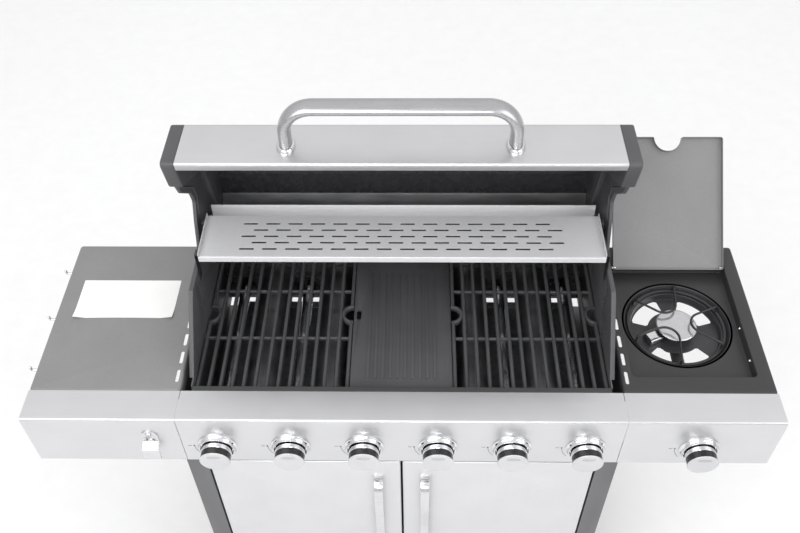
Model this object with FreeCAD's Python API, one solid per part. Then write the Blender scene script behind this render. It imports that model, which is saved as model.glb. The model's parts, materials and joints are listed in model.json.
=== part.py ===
"""Six-burner gas barbecue grill on a cabinet, with a side burner, one STEP file per piece.

Millimetres. Design frame: X = 0 in the middle of the cabinet, Y = 0 at the front edge of the
side shelves with +Y to the rear, Z = 0 on the floor. Every shape is moved by ORIGIN on export,
so that the part's own origin is the centre of its bounding box, on the floor.
"""
import FreeCAD, Part
import math
import os

V = FreeCAD.Vector

# ---- overall sizes
WIDTH = 1500.0            # across both side shelves
SHELF_H = 890.0           # top of the side shelves above the floor
SHELF_DEPTH = 405.0       # side shelf, front to rear
COOK_W = 842.0            # inside the firebox, from side wall to side wall
FASCIA_DEPTH = 70.0       # control panel, top face front to rear
FASCIA_H = 150.0          # control panel, front face

# ---- materials and fits
SHEET = 1.2               # folded steel sheet
CAST = 3.0                # firebox casting wall
SEAM = 0.5                # each side of a butt seam
GAP = 3.0                 # between a moving panel and what it passes
RUN = 0.05                # radial running clearance of pins, shafts and axles
SEAT = 0.3                # clearance between loosely seated parts

# ---- widths that follow from the cooking space
WING_FLANGE = 9.0         # firebox wing's outward flange
ARM_T = 8.0               # lid's hinge arm, between the firebox flange and the shelf
ARM_PLAY = 2.0            # arm to the seam of the shelves
CAP_W = 27.5              # visible width of a cast end cap
CAP_LAP = 1.5             # cap's inner face outside the firebox wall's inner face
SIDE_LAP = 8.0            # cabinet side beyond the seam
ARM_X = (COOK_W / 2 + WING_FLANGE + GAP, COOK_W / 2 + WING_FLANGE + GAP + ARM_T)
MAIN_W = 2 * (ARM_X[1] + ARM_PLAY)        # middle section, from seam to seam
CABINET_W = MAIN_W + 2 * SIDE_LAP         # across the cabinet's side panels
LID_W = COOK_W + 2 * (CAP_LAP + CAP_W)    # across the lid's cast end caps
HALF = WIDTH / 2
SHELF_IN = MAIN_W / 2 + SEAM
COOK_X = COOK_W / 2
SIDE_X = CABINET_W / 2
H0 = SHELF_H

# ---- shelves
SHELF_FLANGE = 30.0
VENT_X = SHELF_IN + 11.5
VENT_LEN = 31.0
VENT_W = 7.0
VENT_PITCH = 46.4
VENT_FIRST = 37.0
VENTS = 8
HOOK_REACH = 20.0
HOOK_R = 3.0
HOOK_FIRST = 60.0
HOOK_PITCH = 135.0
HOOKS = 3
WELL_SCREWS = (90.0, 175.0)

# ---- side burner
RECESS_X = (SHELF_IN + 24.5, HALF - 31.0)
RECESS_Y = (41.5, SHELF_DEPTH - 57.0)
RECESS_DEPTH = 24.0
RECESS_MID = sum(RECESS_X) / 2
BOWL_X = RECESS_MID - 1.5
BOWL_Y = sum(RECESS_Y) / 2 + 1.25
BOWL_R = 112.0
BOWL_DEPTH = 28.0
BOWL_LEDGE = 12.0         # step inside the rim, below the rim
SIDE_TUBE_R = 13.0
SIDE_TUBE_DROP = 36.0      # mixing tube's axis below the bowl
SIDE_CAP_R = 43.5
SIDE_LID_T = 12.0         # depth of the folded rim
SIDE_LID_RISE = 6.0       # closed lid's top above the shelf
SIDE_HINGE_Y = RECESS_Y[1] - 10.0
SIDE_LID_OPEN = 138.0     # degrees
SIDE_PIN_R = 3.0
SIDE_HINGE_RISE = 1.0     # pin above the shelf
EAR_R = 7.0               # ears that carry the pins
NOTCH_R = 31.0
TRIVET_WIRE = 2.5
TRIVET_DROP = 11.0        # top of the wires below the shelf
TRIVET_R = 102.0
TRIVET_LOOPS = 3
TRIVET_TURN = -6.0        # degrees, direction of the first loop

# ---- firebox
BOX_FRONT = 12.0
BOX_REAR = SHELF_DEPTH - 10.0
BOX_H = 170.0             # below the shelf top
WING_FOOT = 32.0          # where the side wall starts to rise
WING_TOP_Y = 143.0
WING_RISE = 118.0
WING_REAR = 128.0
REAR_WALL_RISE = 140.0
GRATE_TOP = -12.0         # below the shelf top
GRATE_T = 14.0
BAR_W = 8.0
BARS = 14
GRATE_FRONT = 16.0
GRATE_REAR = BOX_REAR - 9.0
GRATE_GAP = 1.5
GRIDDLE_W = 209.0
GRIP_Y = 213.0            # middle of the finger cut-outs
GRIP_R = 26.0
CROSS_BARS = (150.0, 282.0)
LIP = 16.0                # ledges that the grates rest on

# ---- warming rack
RACK_W = COOK_W - 18.0
RACK_Y = (BOX_REAR - 188.0, BOX_REAR - 68.0)
RACK_H = 172.0            # above the shelf top
RACK_SLOT = 31.0
RACK_SLOT_W = 5.5
RACK_SLOTS = 14
RACK_PITCH = RACK_W / (RACK_SLOTS + 3.57)
RACK_ROWS = 5
RACK_ROW_PITCH = 18.2

# ---- burners and gas
BURNERS = 6
BURNER_PITCH = (COOK_W - 98.5) / (BURNERS - 1)
BURNER_R = 12.5
BURNER_WALL = 1.5
TUBE_REACH = 26.0         # burner mouth in front of the firebox
JET_REACH = 22.0          # jet end in front of the firebox
BURNER_DROP = 100.0       # burner axis below the shelf top
MANIFOLD_R = 10.0
INLET_BORE = 5.0
MANIFOLD_DROP = FASCIA_H - 24.0
MANIFOLD_Y = -44.0
INLET_R = 8.0
INLET_LEN = 20.0
INLET_X = -SHELF_IN - 31.5
INLET_Y = MANIFOLD_Y + 24.0    # where the spigot starts, pointing to the rear
KNOB_DROP = 91.0
SIDE_KNOB_X = RECESS_MID + 5.0
KNOB_R = 31.0
KNOB_LEN = 31.0
KNOB_BASE = 13.0          # bright ring at the back of a knob
MARK_W = 28.0             # raised mark on a knob's face
MARK_H = 8.0
MARK_UP = 17.0
MARK_RISE = 0.6
KNOB_STAND = 8.0          # knob's back in front of the fascia
BEZEL_R = 40.5
BEZEL_IN = 34.0
BEZEL_LEN = 11.0
STEM_R = 4.0

# ---- lid
HINGE_Y = BOX_REAR - 48.0
HINGE_H = 18.0            # above the shelf top
LID_OPEN = 75.0           # degrees
LID_PIN_R = 6.0
CAP_WALL = 7.0
LINER_DROP = 24.0
LIP_DEPTH = 20.0
HANDLE_SPAN = 434.0       # between the handle's legs
HANDLE_RISE = 92.0
HANDLE_A = 21.0           # half-axes of the flat oval tube
HANDLE_B = 12.5
HANDLE_BEND = 56.0
HANDLE_UP = 52.0          # along the lid's front face, from the lip

# ---- cabinet
POST_W = 42.0
POST_D = 40.0
CABINET_FRONT = -60.0
WHEEL_R = 37.5
FLOOR_Z = 2 * WHEEL_R + 27.0
DOOR_SILL = FLOOR_Z + 24.0
TUBE_WALL = 2.0           # square tube of the front frame, and the lid's handle
RAIL_H = 16.0
DOOR_GAP = 3.5
DOOR_T = 20.0
DOOR_PIN_R = 2.5
PULL_X = 49.7
PULL_W = 19.5
PULL_T = 5.0
PULL_OUT = 32.0
PULL_LEN = 320.0
PULL_DROP = 57.0          # below the door's top edge

# ---- grease tray
TRAY_W = CABINET_W - 102.0
TRAY_Y = (22.0, BOX_REAR - 7.0)
TRAY_H = 22.0
TRAY_DROP = 200.0

# ---- casters
CASTER_X = SIDE_X - 51.0
CASTER_Y = (-25.0, BOX_REAR - 40.0)
WHEEL_W = 24.0
AXLE_R = 4.0
TRAIL = 26.0
CASTER_STEM_R = 6.0

KNOB_Z = H0 - KNOB_DROP
BURNER_Z = H0 - BURNER_DROP
KNOB_XS = [BURNER_PITCH * (i - (BURNERS - 1) / 2) for i in range(BURNERS)] + [SIDE_KNOB_X]


# ---- small helpers
def box(x0, x1, y0, y1, z0, z1):
    """Box between two corners, given in any order."""
    x0, x1 = sorted((x0, x1))
    y0, y1 = sorted((y0, y1))
    z0, z1 = sorted((z0, z1))
    return Part.makeBox(x1 - x0, y1 - y0, z1 - z0, V(x0, y0, z0))


def rod(r, p, q):
    """Round bar of radius r from point p to point q."""
    p, q = V(*p), V(*q)
    return Part.makeCylinder(r, (q - p).Length, p, q - p)


def fuse(parts):
    """One solid from parts that meet."""
    first, rest = parts[0], parts[1:]
    return (first.multiFuse(rest) if rest else first).removeSplitter()


def group(parts):
    """Separate solids in one node."""
    return Part.makeCompound(parts)


def mirror(shape):
    """The same shape on the other side of X = 0."""
    return shape.mirror(V(0, 0, 0), V(1, 0, 0))


def plate(points, axis, a, b):
    """Flat outline carried along an axis from a to b. The outline's two coordinates are the
    other two axes, in X, Y, Z order."""
    def at(u, v, w):
        return {"x": V(w, u, v), "y": V(u, w, v), "z": V(u, v, w)}[axis]
    corners = [at(u, v, a) for u, v in points]
    face = Part.Face(Part.makePolygon(corners + corners[:1]))
    return face.extrude(at(0, 0, b - a))


def offset_line(points, d):
    """Open line of points moved sideways by d, to the right of its direction, with mitres."""
    def normal(p, q):
        length = math.hypot(q[0] - p[0], q[1] - p[1])
        return ((q[1] - p[1]) / length, -(q[0] - p[0]) / length)
    normals = [normal(p, q) for p, q in zip(points, points[1:])]
    before = [normals[0]] + normals
    after = normals + [normals[-1]]
    out = []
    for (u, v), (ax, ay), (bx, by) in zip(points, before, after):
        k = d / (1 + ax * bx + ay * by)
        out.append((u + k * (ax + bx), v + k * (ay + by)))
    return out


def sheet(points, thickness, axis, a, b):
    """Folded sheet whose section follows a line, with its thickness to the right of the line."""
    return plate(points + offset_line(points, thickness)[::-1], axis, a, b)


def slot(x, y, z0, z1, length, width, along):
    """Round-ended slot cutter through z0..z1."""
    half = (length - width) / 2
    dx, dy = (half, 0) if along == "x" else (0, half)
    ends = [rod(width / 2, (x + s * dx, y + s * dy, z0), (x + s * dx, y + s * dy, z1)) for s in (-1, 1)]
    wx, wy = (dx, width / 2) if along == "x" else (width / 2, dy)
    return fuse(ends + [box(x - wx, x + wx, y - wy, y + wy, z0, z1)])


def turn(shape, y, z, degrees):
    """Shape turned about a line along X, with +Y towards +Z positive."""
    out = shape.copy()
    out.rotate(V(0, y, z), V(1, 0, 0), degrees)
    return out


nodes = {}


# ---- side shelves
def shelf(x0, x1):
    """Folded tray with a rim pointing down and a row of vents beside the firebox."""
    top = box(x0, x1, 0, SHELF_DEPTH, H0 - SHELF_FLANGE, H0)
    top = top.cut(box(x0 + SHEET, x1 - SHEET, SHEET, SHELF_DEPTH - SHEET, H0 - SHELF_FLANGE, H0 - SHEET))
    side = 1 if x0 > 0 else -1
    for i in range(VENTS):
        y = VENT_FIRST + i * VENT_PITCH
        top = top.cut(slot(side * VENT_X, y, H0 - SHEET, H0, VENT_LEN, VENT_W, "y"))
    return top


def tool_hook(y):
    """Peg through the shelf's outer rim with its tip turned up."""
    z = H0 - SHELF_FLANGE / 2
    tip = -HALF - HOOK_REACH + HOOK_R
    peg = rod(HOOK_R, (-HALF, y, z), (tip, y, z))
    up = rod(HOOK_R, (tip, y, z), (tip, y, z + 9))
    return fuse([peg, up, Part.makeSphere(HOOK_R, V(tip, y, z)), Part.makeSphere(HOOK_R, V(tip, y, z + 9))])


nodes["shelf_left"] = shelf(-HALF, -SHELF_IN)
nodes["tool_hooks"] = group([tool_hook(HOOK_FIRST + i * HOOK_PITCH) for i in range(HOOKS)])


def shelf_right():
    """Shelf with a sunk well for the side burner and a round opening in the well's floor."""
    x0, x1 = RECESS_X
    y0, y1 = RECESS_Y
    floor_z = H0 - RECESS_DEPTH
    top = shelf(SHELF_IN, HALF).cut(box(x0, x1, y0, y1, H0 - SHEET, H0))
    well = box(x0 - SHEET, x1 + SHEET, y0 - SHEET, y1 + SHEET, floor_z - SHEET, H0 - SHEET)
    well = well.cut(box(x0, x1, y0, y1, floor_z, H0))
    out = fuse([top, well])
    out = out.cut(rod(BOWL_R, (BOWL_X, BOWL_Y, floor_z - SHEET), (BOWL_X, BOWL_Y, floor_z)))
    z = H0 + SIDE_HINGE_RISE
    for x in (x0 - SHEET, x1):
        ear = rod(EAR_R, (x, SIDE_HINGE_Y, z), (x + SHEET, SIDE_HINGE_Y, z))
        out = fuse([out, ear]).cut(rod(SIDE_PIN_R, (x, SIDE_HINGE_Y, z), (x + SHEET, SIDE_HINGE_Y, z)))
    return out


nodes["shelf_right"] = shelf_right()


# ---- side burner
BOWL_LOW = H0 - RECESS_DEPTH - BOWL_DEPTH
WINDOW_R = (57.0, 92.0)
WINDOWS = ((17, 75), (105, 163), (224, 314))     # degrees, the openings in the bowl's floor


def burner_bowl():
    """Spun bowl with a flat rim on the well's floor, a ledge inside it and windows in its bottom."""
    rim = H0 - RECESS_DEPTH
    ledge_z = rim - BOWL_LEDGE
    low = BOWL_LOW
    profile = [(24, low), (BOWL_R - 18, low), (BOWL_R - 16, ledge_z), (BOWL_R - 5, ledge_z),
               (BOWL_R - 1, rim), (BOWL_R + 5, rim)]
    line = profile + offset_line(profile, -SHEET)[::-1]
    face = Part.Face(Part.makePolygon([V(r, 0, z) for r, z in line + line[:1]]))
    bowl = face.revolve(V(0, 0, 0), V(0, 0, 1), 360)
    for start, stop in WINDOWS:
        base = V(0, 0, low - SHEET)
        window = Part.makeCylinder(WINDOW_R[1], 3 * SHEET, base, V(0, 0, 1), stop - start)
        window = window.cut(Part.makeCylinder(WINDOW_R[0], 3 * SHEET, base))
        window.rotate(V(0, 0, 0), V(0, 0, 1), start)
        bowl = bowl.cut(window)
    bowl.translate(V(BOWL_X, BOWL_Y, 0))
    return bowl


def side_burner():
    """Cast burner head on its mixing tube, with a loose round cap on top."""
    x, y = BOWL_X, BOWL_Y
    stem = rod(20, (x, y, BOWL_LOW - 50), (x, y, BOWL_LOW + 10))
    head = Part.makeCone(20, SIDE_CAP_R - 4, 14, V(x, y, BOWL_LOW + 8), V(0, 0, 1))
    z = BOWL_LOW - SIDE_TUBE_DROP
    start = BOX_FRONT - TUBE_REACH
    tube = rod(SIDE_TUBE_R, (SIDE_KNOB_X, y, z), (SIDE_KNOB_X, start, z))
    tube_hole = rod(SIDE_TUBE_R - 2.5, (SIDE_KNOB_X, y - 22, z), (SIDE_KNOB_X, start - 1, z))
    seat = rod(27, (x, y, BOWL_LOW + SHEET), (x, y, BOWL_LOW + SHEET + 2))
    body = fuse([stem, head, tube, seat]).cut(tube_hole)
    cap = rod(SIDE_CAP_R, (x, y, BOWL_LOW + 22), (x, y, BOWL_LOW + 27))
    return group([body, cap])


def trivet():
    """Wire loops that point at the middle, on legs that stand on a ring on the bowl's ledge."""
    top = H0 - TRIVET_DROP - TRIVET_WIRE
    low = H0 - RECESS_DEPTH - BOWL_LEDGE + SHEET + SEAT
    foot = low + TRIVET_WIRE
    bend, spread, apex, nose = 7.0, math.radians(30), 28.0, 43.0
    def at(r, z, side=1):
        return V(r * math.cos(spread), side * r * math.sin(spread), z)
    def line(p, q):
        return Part.LineSegment(p, q).toShape()
    k = bend * (1 - math.sqrt(0.5))
    r = TRIVET_R
    edges = [line(at(r, foot), at(r, top - bend)),
             Part.Arc(at(r, top - bend), at(r - k, top - k), at(r - bend, top)).toShape(),
             line(at(r - bend, top), at(nose, top)),
             Part.Arc(at(nose, top), V(apex, 0, top), at(nose, top, -1)).toShape(),
             line(at(nose, top, -1), at(r - bend, top, -1)),
             Part.Arc(at(r - bend, top, -1), at(r - k, top - k, -1), at(r, top - bend, -1)).toShape(),
             line(at(r, top - bend, -1), at(r, foot, -1))]
    section = Part.Wire(Part.Circle(at(r, foot), V(0, 0, 1), TRIVET_WIRE).toShape())
    loop = Part.Wire(edges).makePipeShell([section], True, True, 2)
    ring = Part.makeCylinder(r + TRIVET_WIRE + 1, 2 * TRIVET_WIRE, V(0, 0, low))
    ring = ring.cut(Part.makeCylinder(r - TRIVET_WIRE - 1, 2 * TRIVET_WIRE, V(0, 0, low)))
    loops = []
    for i in range(TRIVET_LOOPS):
        turned = loop.copy()
        turned.rotate(V(0, 0, 0), V(0, 0, 1), TRIVET_TURN + i * 360 / TRIVET_LOOPS)
        loops.append(turned)
    out = fuse(loops + [ring])
    out.translate(V(BOWL_X, BOWL_Y, 0))
    return out


SIDE_HINGE_Z = H0 + SIDE_HINGE_RISE


def side_lid():
    """Shallow folded lid, made closed and then opened about its rear pins."""
    x0, x1 = RECESS_X[0] + GAP, RECESS_X[1] - GAP
    y0, y1 = RECESS_Y[0] + GAP, SIDE_HINGE_Y + 4
    top = H0 + SIDE_LID_RISE
    low = top - SIDE_LID_T
    pan = box(x0, x1, y0, y1, low, top)
    pan = pan.cut(box(x0 + SHEET, x1 - SHEET, y0 + SHEET, y1 - SHEET, low, top - SHEET))
    middle = (x0 + x1) / 2
    wall = rod(NOTCH_R + SHEET, (middle, y0, low), (middle, y0, top))
    wall = wall.common(box(x0, x1, y0, y1, low, top))
    pan = fuse([pan, wall]).cut(rod(NOTCH_R, (middle, y0, low), (middle, y0, top)))
    z = SIDE_HINGE_Z
    for x, s in ((x0, 1), (x1, -1)):
        pan = pan.cut(rod(SIDE_PIN_R + RUN, (x - s, SIDE_HINGE_Y, z), (x + s * 9, SIDE_HINGE_Y, z)))
    return turn(pan, SIDE_HINGE_Y, z, -SIDE_LID_OPEN)


nodes["burner_bowl"] = burner_bowl()
nodes["side_burner"] = side_burner()
nodes["trivet"] = trivet()
nodes["side_lid"] = side_lid()


# ---- control panel
def fascia(x0, x1):
    """Sheet folded into a top face, a front face and a short return below."""
    line = [(0, H0), (-FASCIA_DEPTH, H0), (-FASCIA_DEPTH, H0 - FASCIA_H), (-42, H0 - FASCIA_H)]
    return sheet(line, -SHEET, "x", x0, x1)


def fascia_end(x0, x1):
    """Flat end of a side fascia, inside the fold."""
    return box(x0, x1, -FASCIA_DEPTH + SHEET, 0, H0 - FASCIA_H + SHEET, H0 - SHEET)


def knob_hole(x):
    """Hole that a valve stem passes through."""
    return rod(STEM_R + 2, (x, -FASCIA_DEPTH - 1, KNOB_Z), (x, -FASCIA_DEPTH + SHEET + 1, KNOB_Z))


def bezel(x):
    """Flared ring around a knob: a thin cone on a flat flange."""
    y = -FASCIA_DEPTH
    profile = [(BEZEL_R, 0), (BEZEL_R - 1, 4), (BEZEL_IN + 1.5, BEZEL_LEN), (BEZEL_IN, BEZEL_LEN),
               (BEZEL_IN - 1, 3), (STEM_R + 3, 3), (STEM_R + 3, 0)]
    face = Part.Face(Part.makePolygon([V(r, -d, 0) for r, d in profile + profile[:1]]))
    ring = face.revolve(V(0, 0, 0), V(0, 1, 0), 360)
    ring.translate(V(x, y, KNOB_Z))
    return ring


def knob(x):
    """Round knob with a base ring, a waisted grip and a raised mark on its face, on its stem."""
    back = -FASCIA_DEPTH - KNOB_STAND
    front = KNOB_LEN - 3
    profile = [(0, 0), (KNOB_R, 0), (KNOB_R, KNOB_BASE), (KNOB_R - 1, KNOB_BASE + 1), (KNOB_R - 1, front - 1),
               (KNOB_R, front), (KNOB_R - 0.5, front + 1.5), (KNOB_R - 4, front + 2.5), (0, KNOB_LEN)]
    face = Part.Face(Part.makePolygon([V(r, -d, 0) for r, d in profile + profile[:1]]))
    body = face.revolve(V(0, 0, 0), V(0, 1, 0), 360)
    body.translate(V(x, back, KNOB_Z))
    face_y, mark_z = back - KNOB_LEN, KNOB_Z + MARK_UP
    mark = box(x - MARK_W / 2, x + MARK_W / 2, face_y - MARK_RISE, face_y + 2, mark_z - MARK_H / 2,
               mark_z + MARK_H / 2)
    stem_hole = rod(STEM_R, (x, back, KNOB_Z), (x, back - 20, KNOB_Z))
    stem = rod(STEM_R, (x, back - 20, KNOB_Z), (x, VALVE_FRONT + 18, KNOB_Z))
    return group([fuse([body, mark]).cut(stem_hole), stem])


VALVE_FRONT = -FASCIA_DEPTH + SHEET


def valve(x):
    """Valve body on the manifold: stem bore in front, saddle below, jet at the rear."""
    jet_z = BURNER_Z if x != SIDE_KNOB_X else BOWL_LOW - SIDE_TUBE_DROP
    jet_y = BOX_FRONT - JET_REACH
    body = box(x - 11, x + 11, VALVE_FRONT + 5, MANIFOLD_Y + 14, H0 - MANIFOLD_DROP + 4, KNOB_Z + 12)
    boss = rod(10, (x, VALVE_FRONT, KNOB_Z), (x, VALVE_FRONT + 6, KNOB_Z))
    jet = rod(6, (x, MANIFOLD_Y + 10, jet_z), (x, jet_y, jet_z))
    body = fuse([body, boss, jet])
    bore = rod(STEM_R + RUN, (x, VALVE_FRONT - 1, KNOB_Z), (x, VALVE_FRONT + 18 + SEAT, KNOB_Z))
    pipe = rod(MANIFOLD_R, (x - 20, MANIFOLD_Y, H0 - MANIFOLD_DROP), (x + 20, MANIFOLD_Y, H0 - MANIFOLD_DROP))
    return body.cut(bore).cut(pipe)


def manifold():
    """Gas pipe behind the control panel. Its left end turns to the rear in a stepped spigot."""
    x, y, z = INLET_X, MANIFOLD_Y, H0 - MANIFOLD_DROP
    right = SIDE_KNOB_X + 25
    end_y = INLET_Y + INLET_LEN
    pipe = rod(MANIFOLD_R, (x, y, z), (right, y, z))
    corner = Part.makeSphere(MANIFOLD_R, V(x, y, z))
    neck = rod(MANIFOLD_R, (x, y, z), (x, INLET_Y, z))
    spigot = rod(INLET_R, (x, INLET_Y, z), (x, end_y, z))
    bore = rod(INLET_BORE, (x, y, z), (right - 4, y, z))
    inlet = rod(INLET_BORE, (x, y, z), (x, end_y, z))
    return fuse([pipe, corner, neck, spigot]).cut(bore).cut(inlet)


main = fascia(-MAIN_W / 2 + SEAM, MAIN_W / 2 - SEAM)
for knob_x in KNOB_XS[:-1]:
    main = main.cut(knob_hole(knob_x))
nodes["fascia_main"] = main
left_end = fascia_end(-HALF, -HALF + SHEET)
nodes["fascia_left"] = fuse([fascia(-HALF, -SHELF_IN), left_end])
right = fuse([fascia(SHELF_IN, HALF), fascia_end(HALF - SHEET, HALF)])
nodes["fascia_right"] = right.cut(knob_hole(SIDE_KNOB_X))
nodes["knob_bezels"] = group([bezel(x) for x in KNOB_XS])
for number, knob_x in enumerate(KNOB_XS[:-1], 1):
    nodes[f"knob_{number}"] = knob(knob_x)
nodes["knob_side"] = knob(SIDE_KNOB_X)
nodes["gas_valves"] = group([valve(x) for x in KNOB_XS])
nodes["gas_manifold"] = manifold()


# ---- bottle opener
OPENER_X = -SHELF_IN - 59.5
OPENER_TOP = H0 - 38.0
OPENER_W = 34.0
OPENER_LEN = 72.0
OPENER_SCREW = OPENER_TOP - 9


def bottle_opener():
    """Pressed plate with an arched top, standing off at its lower end, with a toothed hole."""
    y = -FASCIA_DEPTH
    x, half = OPENER_X, OPENER_W / 2
    low = OPENER_TOP - OPENER_LEN
    flat = box(x - half, x + half, y - 3, y, OPENER_TOP - 38, OPENER_TOP - half)
    arch = rod(half, (x, y - 3, OPENER_TOP - half), (x, y, OPENER_TOP - half))
    line = [(y, OPENER_TOP - 36), (y - 15, OPENER_TOP - 46), (y - 18, low)]
    hook = sheet(line, 3, "x", x - half, x + half)
    hole = rod(8.5, (x, y - 4, OPENER_TOP - 27), (x, y + 1, OPENER_TOP - 27))
    screw = rod(3.5, (x, y - 4, OPENER_SCREW), (x, y + 1, OPENER_SCREW))
    tooth = box(x - 3, x + 3, y - 3, y, OPENER_TOP - 38, OPENER_TOP - 31)
    return fuse([fuse([flat, arch]).cut(hole), hook, tooth]).cut(screw)


nodes["bottle_opener"] = bottle_opener()


# ---- firebox
WING_ARC = WING_REAR - HINGE_H           # the wing's rear corner is round about the lid's pivot


def wing_line():
    """Top edge of the wing, front to rear."""
    end = math.asin((BOX_REAR - SHEET - HINGE_Y) / WING_ARC)
    line = [(WING_FOOT, H0), (WING_TOP_Y, H0 + WING_RISE), (WING_TOP_Y + 12, H0 + WING_REAR)]
    for i in range(5):
        a = end * i / 4
        line.append((HINGE_Y + WING_ARC * math.sin(a), H0 + HINGE_H + WING_ARC * math.cos(a)))
    return line


WING = wing_line()


def firebox_side():
    """Right-hand cast side wall with a raised wing, an outward flange and its holes."""
    x0, x1 = COOK_X, COOK_X + CAST
    low = H0 - BOX_H
    outline = [(BOX_FRONT, low), (BOX_FRONT, H0), WING[0]] + WING[1:] + [(BOX_REAR - SHEET, low)]
    wall = plate(outline, "x", x0, x1)
    flange = sheet(WING, CAST, "x", x1, x1 + WING_FLANGE - CAST)
    foot = box(x1, CABINET_W / 2 - SHEET, BOX_FRONT, BOX_REAR - SHEET, low, low + SHEET)
    out = fuse([wall, flange, foot])
    for z in (102, 79, 56, 36):
        out = out.cut(rod(2.5, (x0 - 1, 190, H0 + z), (x1 + 1, 190, H0 + z)))
    diamond = plate([(150, H0 - 34), (157, H0 - 16), (150, H0 + 2), (143, H0 - 16)], "x", x0 - 1, x1 + 1)
    pin = rod(LID_PIN_R, (x0 - 1, HINGE_Y, H0 + HINGE_H), (x1 + 1, HINGE_Y, H0 + HINGE_H))
    return out.cut(diamond).cut(pin)


def ledge(y0, y1, z):
    """Ledge across the firebox with its top at z."""
    return box(-COOK_X, COOK_X, y0, y1, z - SHEET, z)


BED = H0 + GRATE_TOP - GRATE_T          # underside of the grates
TAMER_SEAT = H0 - 76.0                  # ledges under the heat deflectors


def firebox_front():
    """Front wall with the top ledge, the two inner ledges and the burner holes."""
    wide = COOK_X + CAST
    wall = box(-wide, wide, BOX_FRONT - SHEET, BOX_FRONT, H0 - BOX_H, H0)
    top = box(-COOK_X, COOK_X, SEAM, BOX_FRONT, H0 - SHEET, H0)
    ledges = [ledge(BOX_FRONT, BOX_FRONT + LIP, z) for z in (BED, TAMER_SEAT)]
    out = fuse([wall, top] + ledges)
    for x in KNOB_XS[:-1]:
        out = out.cut(rod(BURNER_R, (x, BOX_FRONT - 3, BURNER_Z), (x, BOX_FRONT + 1, BURNER_Z)))
    return out


def firebox_rear():
    """Stainless rear wall with ledges for the grates, deflectors and burner ends."""
    y = BOX_REAR
    wide = COOK_X + CAST
    low = box(-wide, wide, y - SHEET, y, H0 - BOX_H, H0)
    high = box(-COOK_X, COOK_X, y - SHEET, y, H0, H0 + REAR_WALL_RISE)
    out = [low, high, ledge(y - SHEET - LIP, y - SHEET, BED), ledge(y - SHEET - LIP, y - SHEET, TAMER_SEAT)]
    out.append(ledge(y - SHEET - 2 * LIP, y - SHEET, BURNER_Z - BURNER_R))
    return fuse(out)


side = firebox_side()
nodes["firebox_side_right"] = side
nodes["firebox_side_left"] = mirror(side)
nodes["firebox_front"] = firebox_front()
nodes["firebox_rear"] = firebox_rear()


# ---- grates and griddle
def grate(x0, x1):
    """Cast grate: bars along Y, two lower cross bars, end bars and a finger cut-out each side."""
    z1 = H0 + GRATE_TOP
    z0 = z1 - GRATE_T
    pitch = (x1 - x0 - BAR_W) / (BARS - 1)
    starts = [x0 + i * pitch for i in range(BARS)]
    parts = [box(x, x + BAR_W, GRATE_FRONT, GRATE_REAR, z0, z1) for x in starts]
    for y in (GRATE_FRONT, GRATE_REAR - BAR_W):
        parts.append(box(x0, x1, y, y + BAR_W, z0, z1 - 3))
    for y in CROSS_BARS:
        parts.append(box(x0, x1, y - 3, y + 3, z0 + 1, z1 - 4))
    out = fuse(parts)
    for x in (x0, x1):
        out = out.cut(rod(GRIP_R - BAR_W, (x, GRIP_Y, z0), (x, GRIP_Y, z1)))
        ring = Part.makeCylinder(GRIP_R, GRATE_T, V(x, GRIP_Y, z0))
        ring = ring.cut(Part.makeCylinder(GRIP_R - BAR_W, GRATE_T, V(x, GRIP_Y, z0)))
        out = fuse([out, ring.common(box(x0, x1, 0, SHELF_DEPTH, z0, z1))])
    return out


def griddle():
    """Cast plate with raised ribs on top, a slotted grease hole and a rim below."""
    z1 = H0 + GRATE_TOP
    half = GRIDDLE_W / 2
    out = box(-half, half, GRATE_FRONT, GRATE_REAR, z1 - GRATE_T, z1 - 2)
    out = out.cut(box(-half + 5, half - 5, GRATE_FRONT + 5, GRATE_REAR - 5, z1 - GRATE_T, z1 - 8))
    ribs = [box(x - 2.5, x + 2.5, 42, 330, z1 - 3, z1) for x in (15.4 * (i - 4.5) for i in range(10))]
    return fuse([out] + ribs).cut(slot(-94, 211, z1 - GRATE_T, z1, 28, 10, "y"))


inner_x = GRIDDLE_W / 2 + GRATE_GAP
nodes["cooking_grate_left"] = grate(-COOK_X + GRATE_GAP, -inner_x)
nodes["cooking_grate_right"] = grate(inner_x, COOK_X - GRATE_GAP)
nodes["griddle_plate"] = griddle()


# ---- warming rack
def warming_rack():
    """Perforated shelf with a turned-down front and turned-up sides."""
    y0, y1 = RACK_Y
    half = RACK_W / 2
    z = H0 + RACK_H
    deck = box(-half, half, y0, y1, z - SHEET, z)
    front = box(-half, half, y0, y0 + SHEET, z - 14, z)
    sides = [box(s * half, s * (half - SHEET), y0, y1, z - SHEET, z + 9) for s in (-1, 1)]
    out = fuse([deck, front] + sides)
    for row in range(RACK_ROWS):
        y = (y0 + y1) / 2 + (row - (RACK_ROWS - 1) / 2) * RACK_ROW_PITCH
        shift = (0.25 if row % 2 else -0.25) * RACK_PITCH
        for i in range(RACK_SLOTS):
            x = (i - (RACK_SLOTS - 1) / 2) * RACK_PITCH + shift
            out = out.cut(slot(x, y, z - SHEET, z, RACK_SLOT, RACK_SLOT_W, "x"))
    return out


def rack_bracket(y):
    """Right-hand angle that is screwed inside the wing and carries the rack."""
    z = H0 + RACK_H - SHEET
    plate_in = box(COOK_X - SHEET, COOK_X, y - 9, y + 9, H0 + 96, z)
    arm = box(COOK_X - 26, COOK_X, y - 9, y + 9, z - SHEET, z)
    return fuse([plate_in, arm])


nodes["warming_rack"] = warming_rack()
right_brackets = [rack_bracket(RACK_Y[0] + 14), rack_bracket(RACK_Y[1] - 14)]
nodes["rack_brackets"] = group(right_brackets + [mirror(b) for b in right_brackets])


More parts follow.
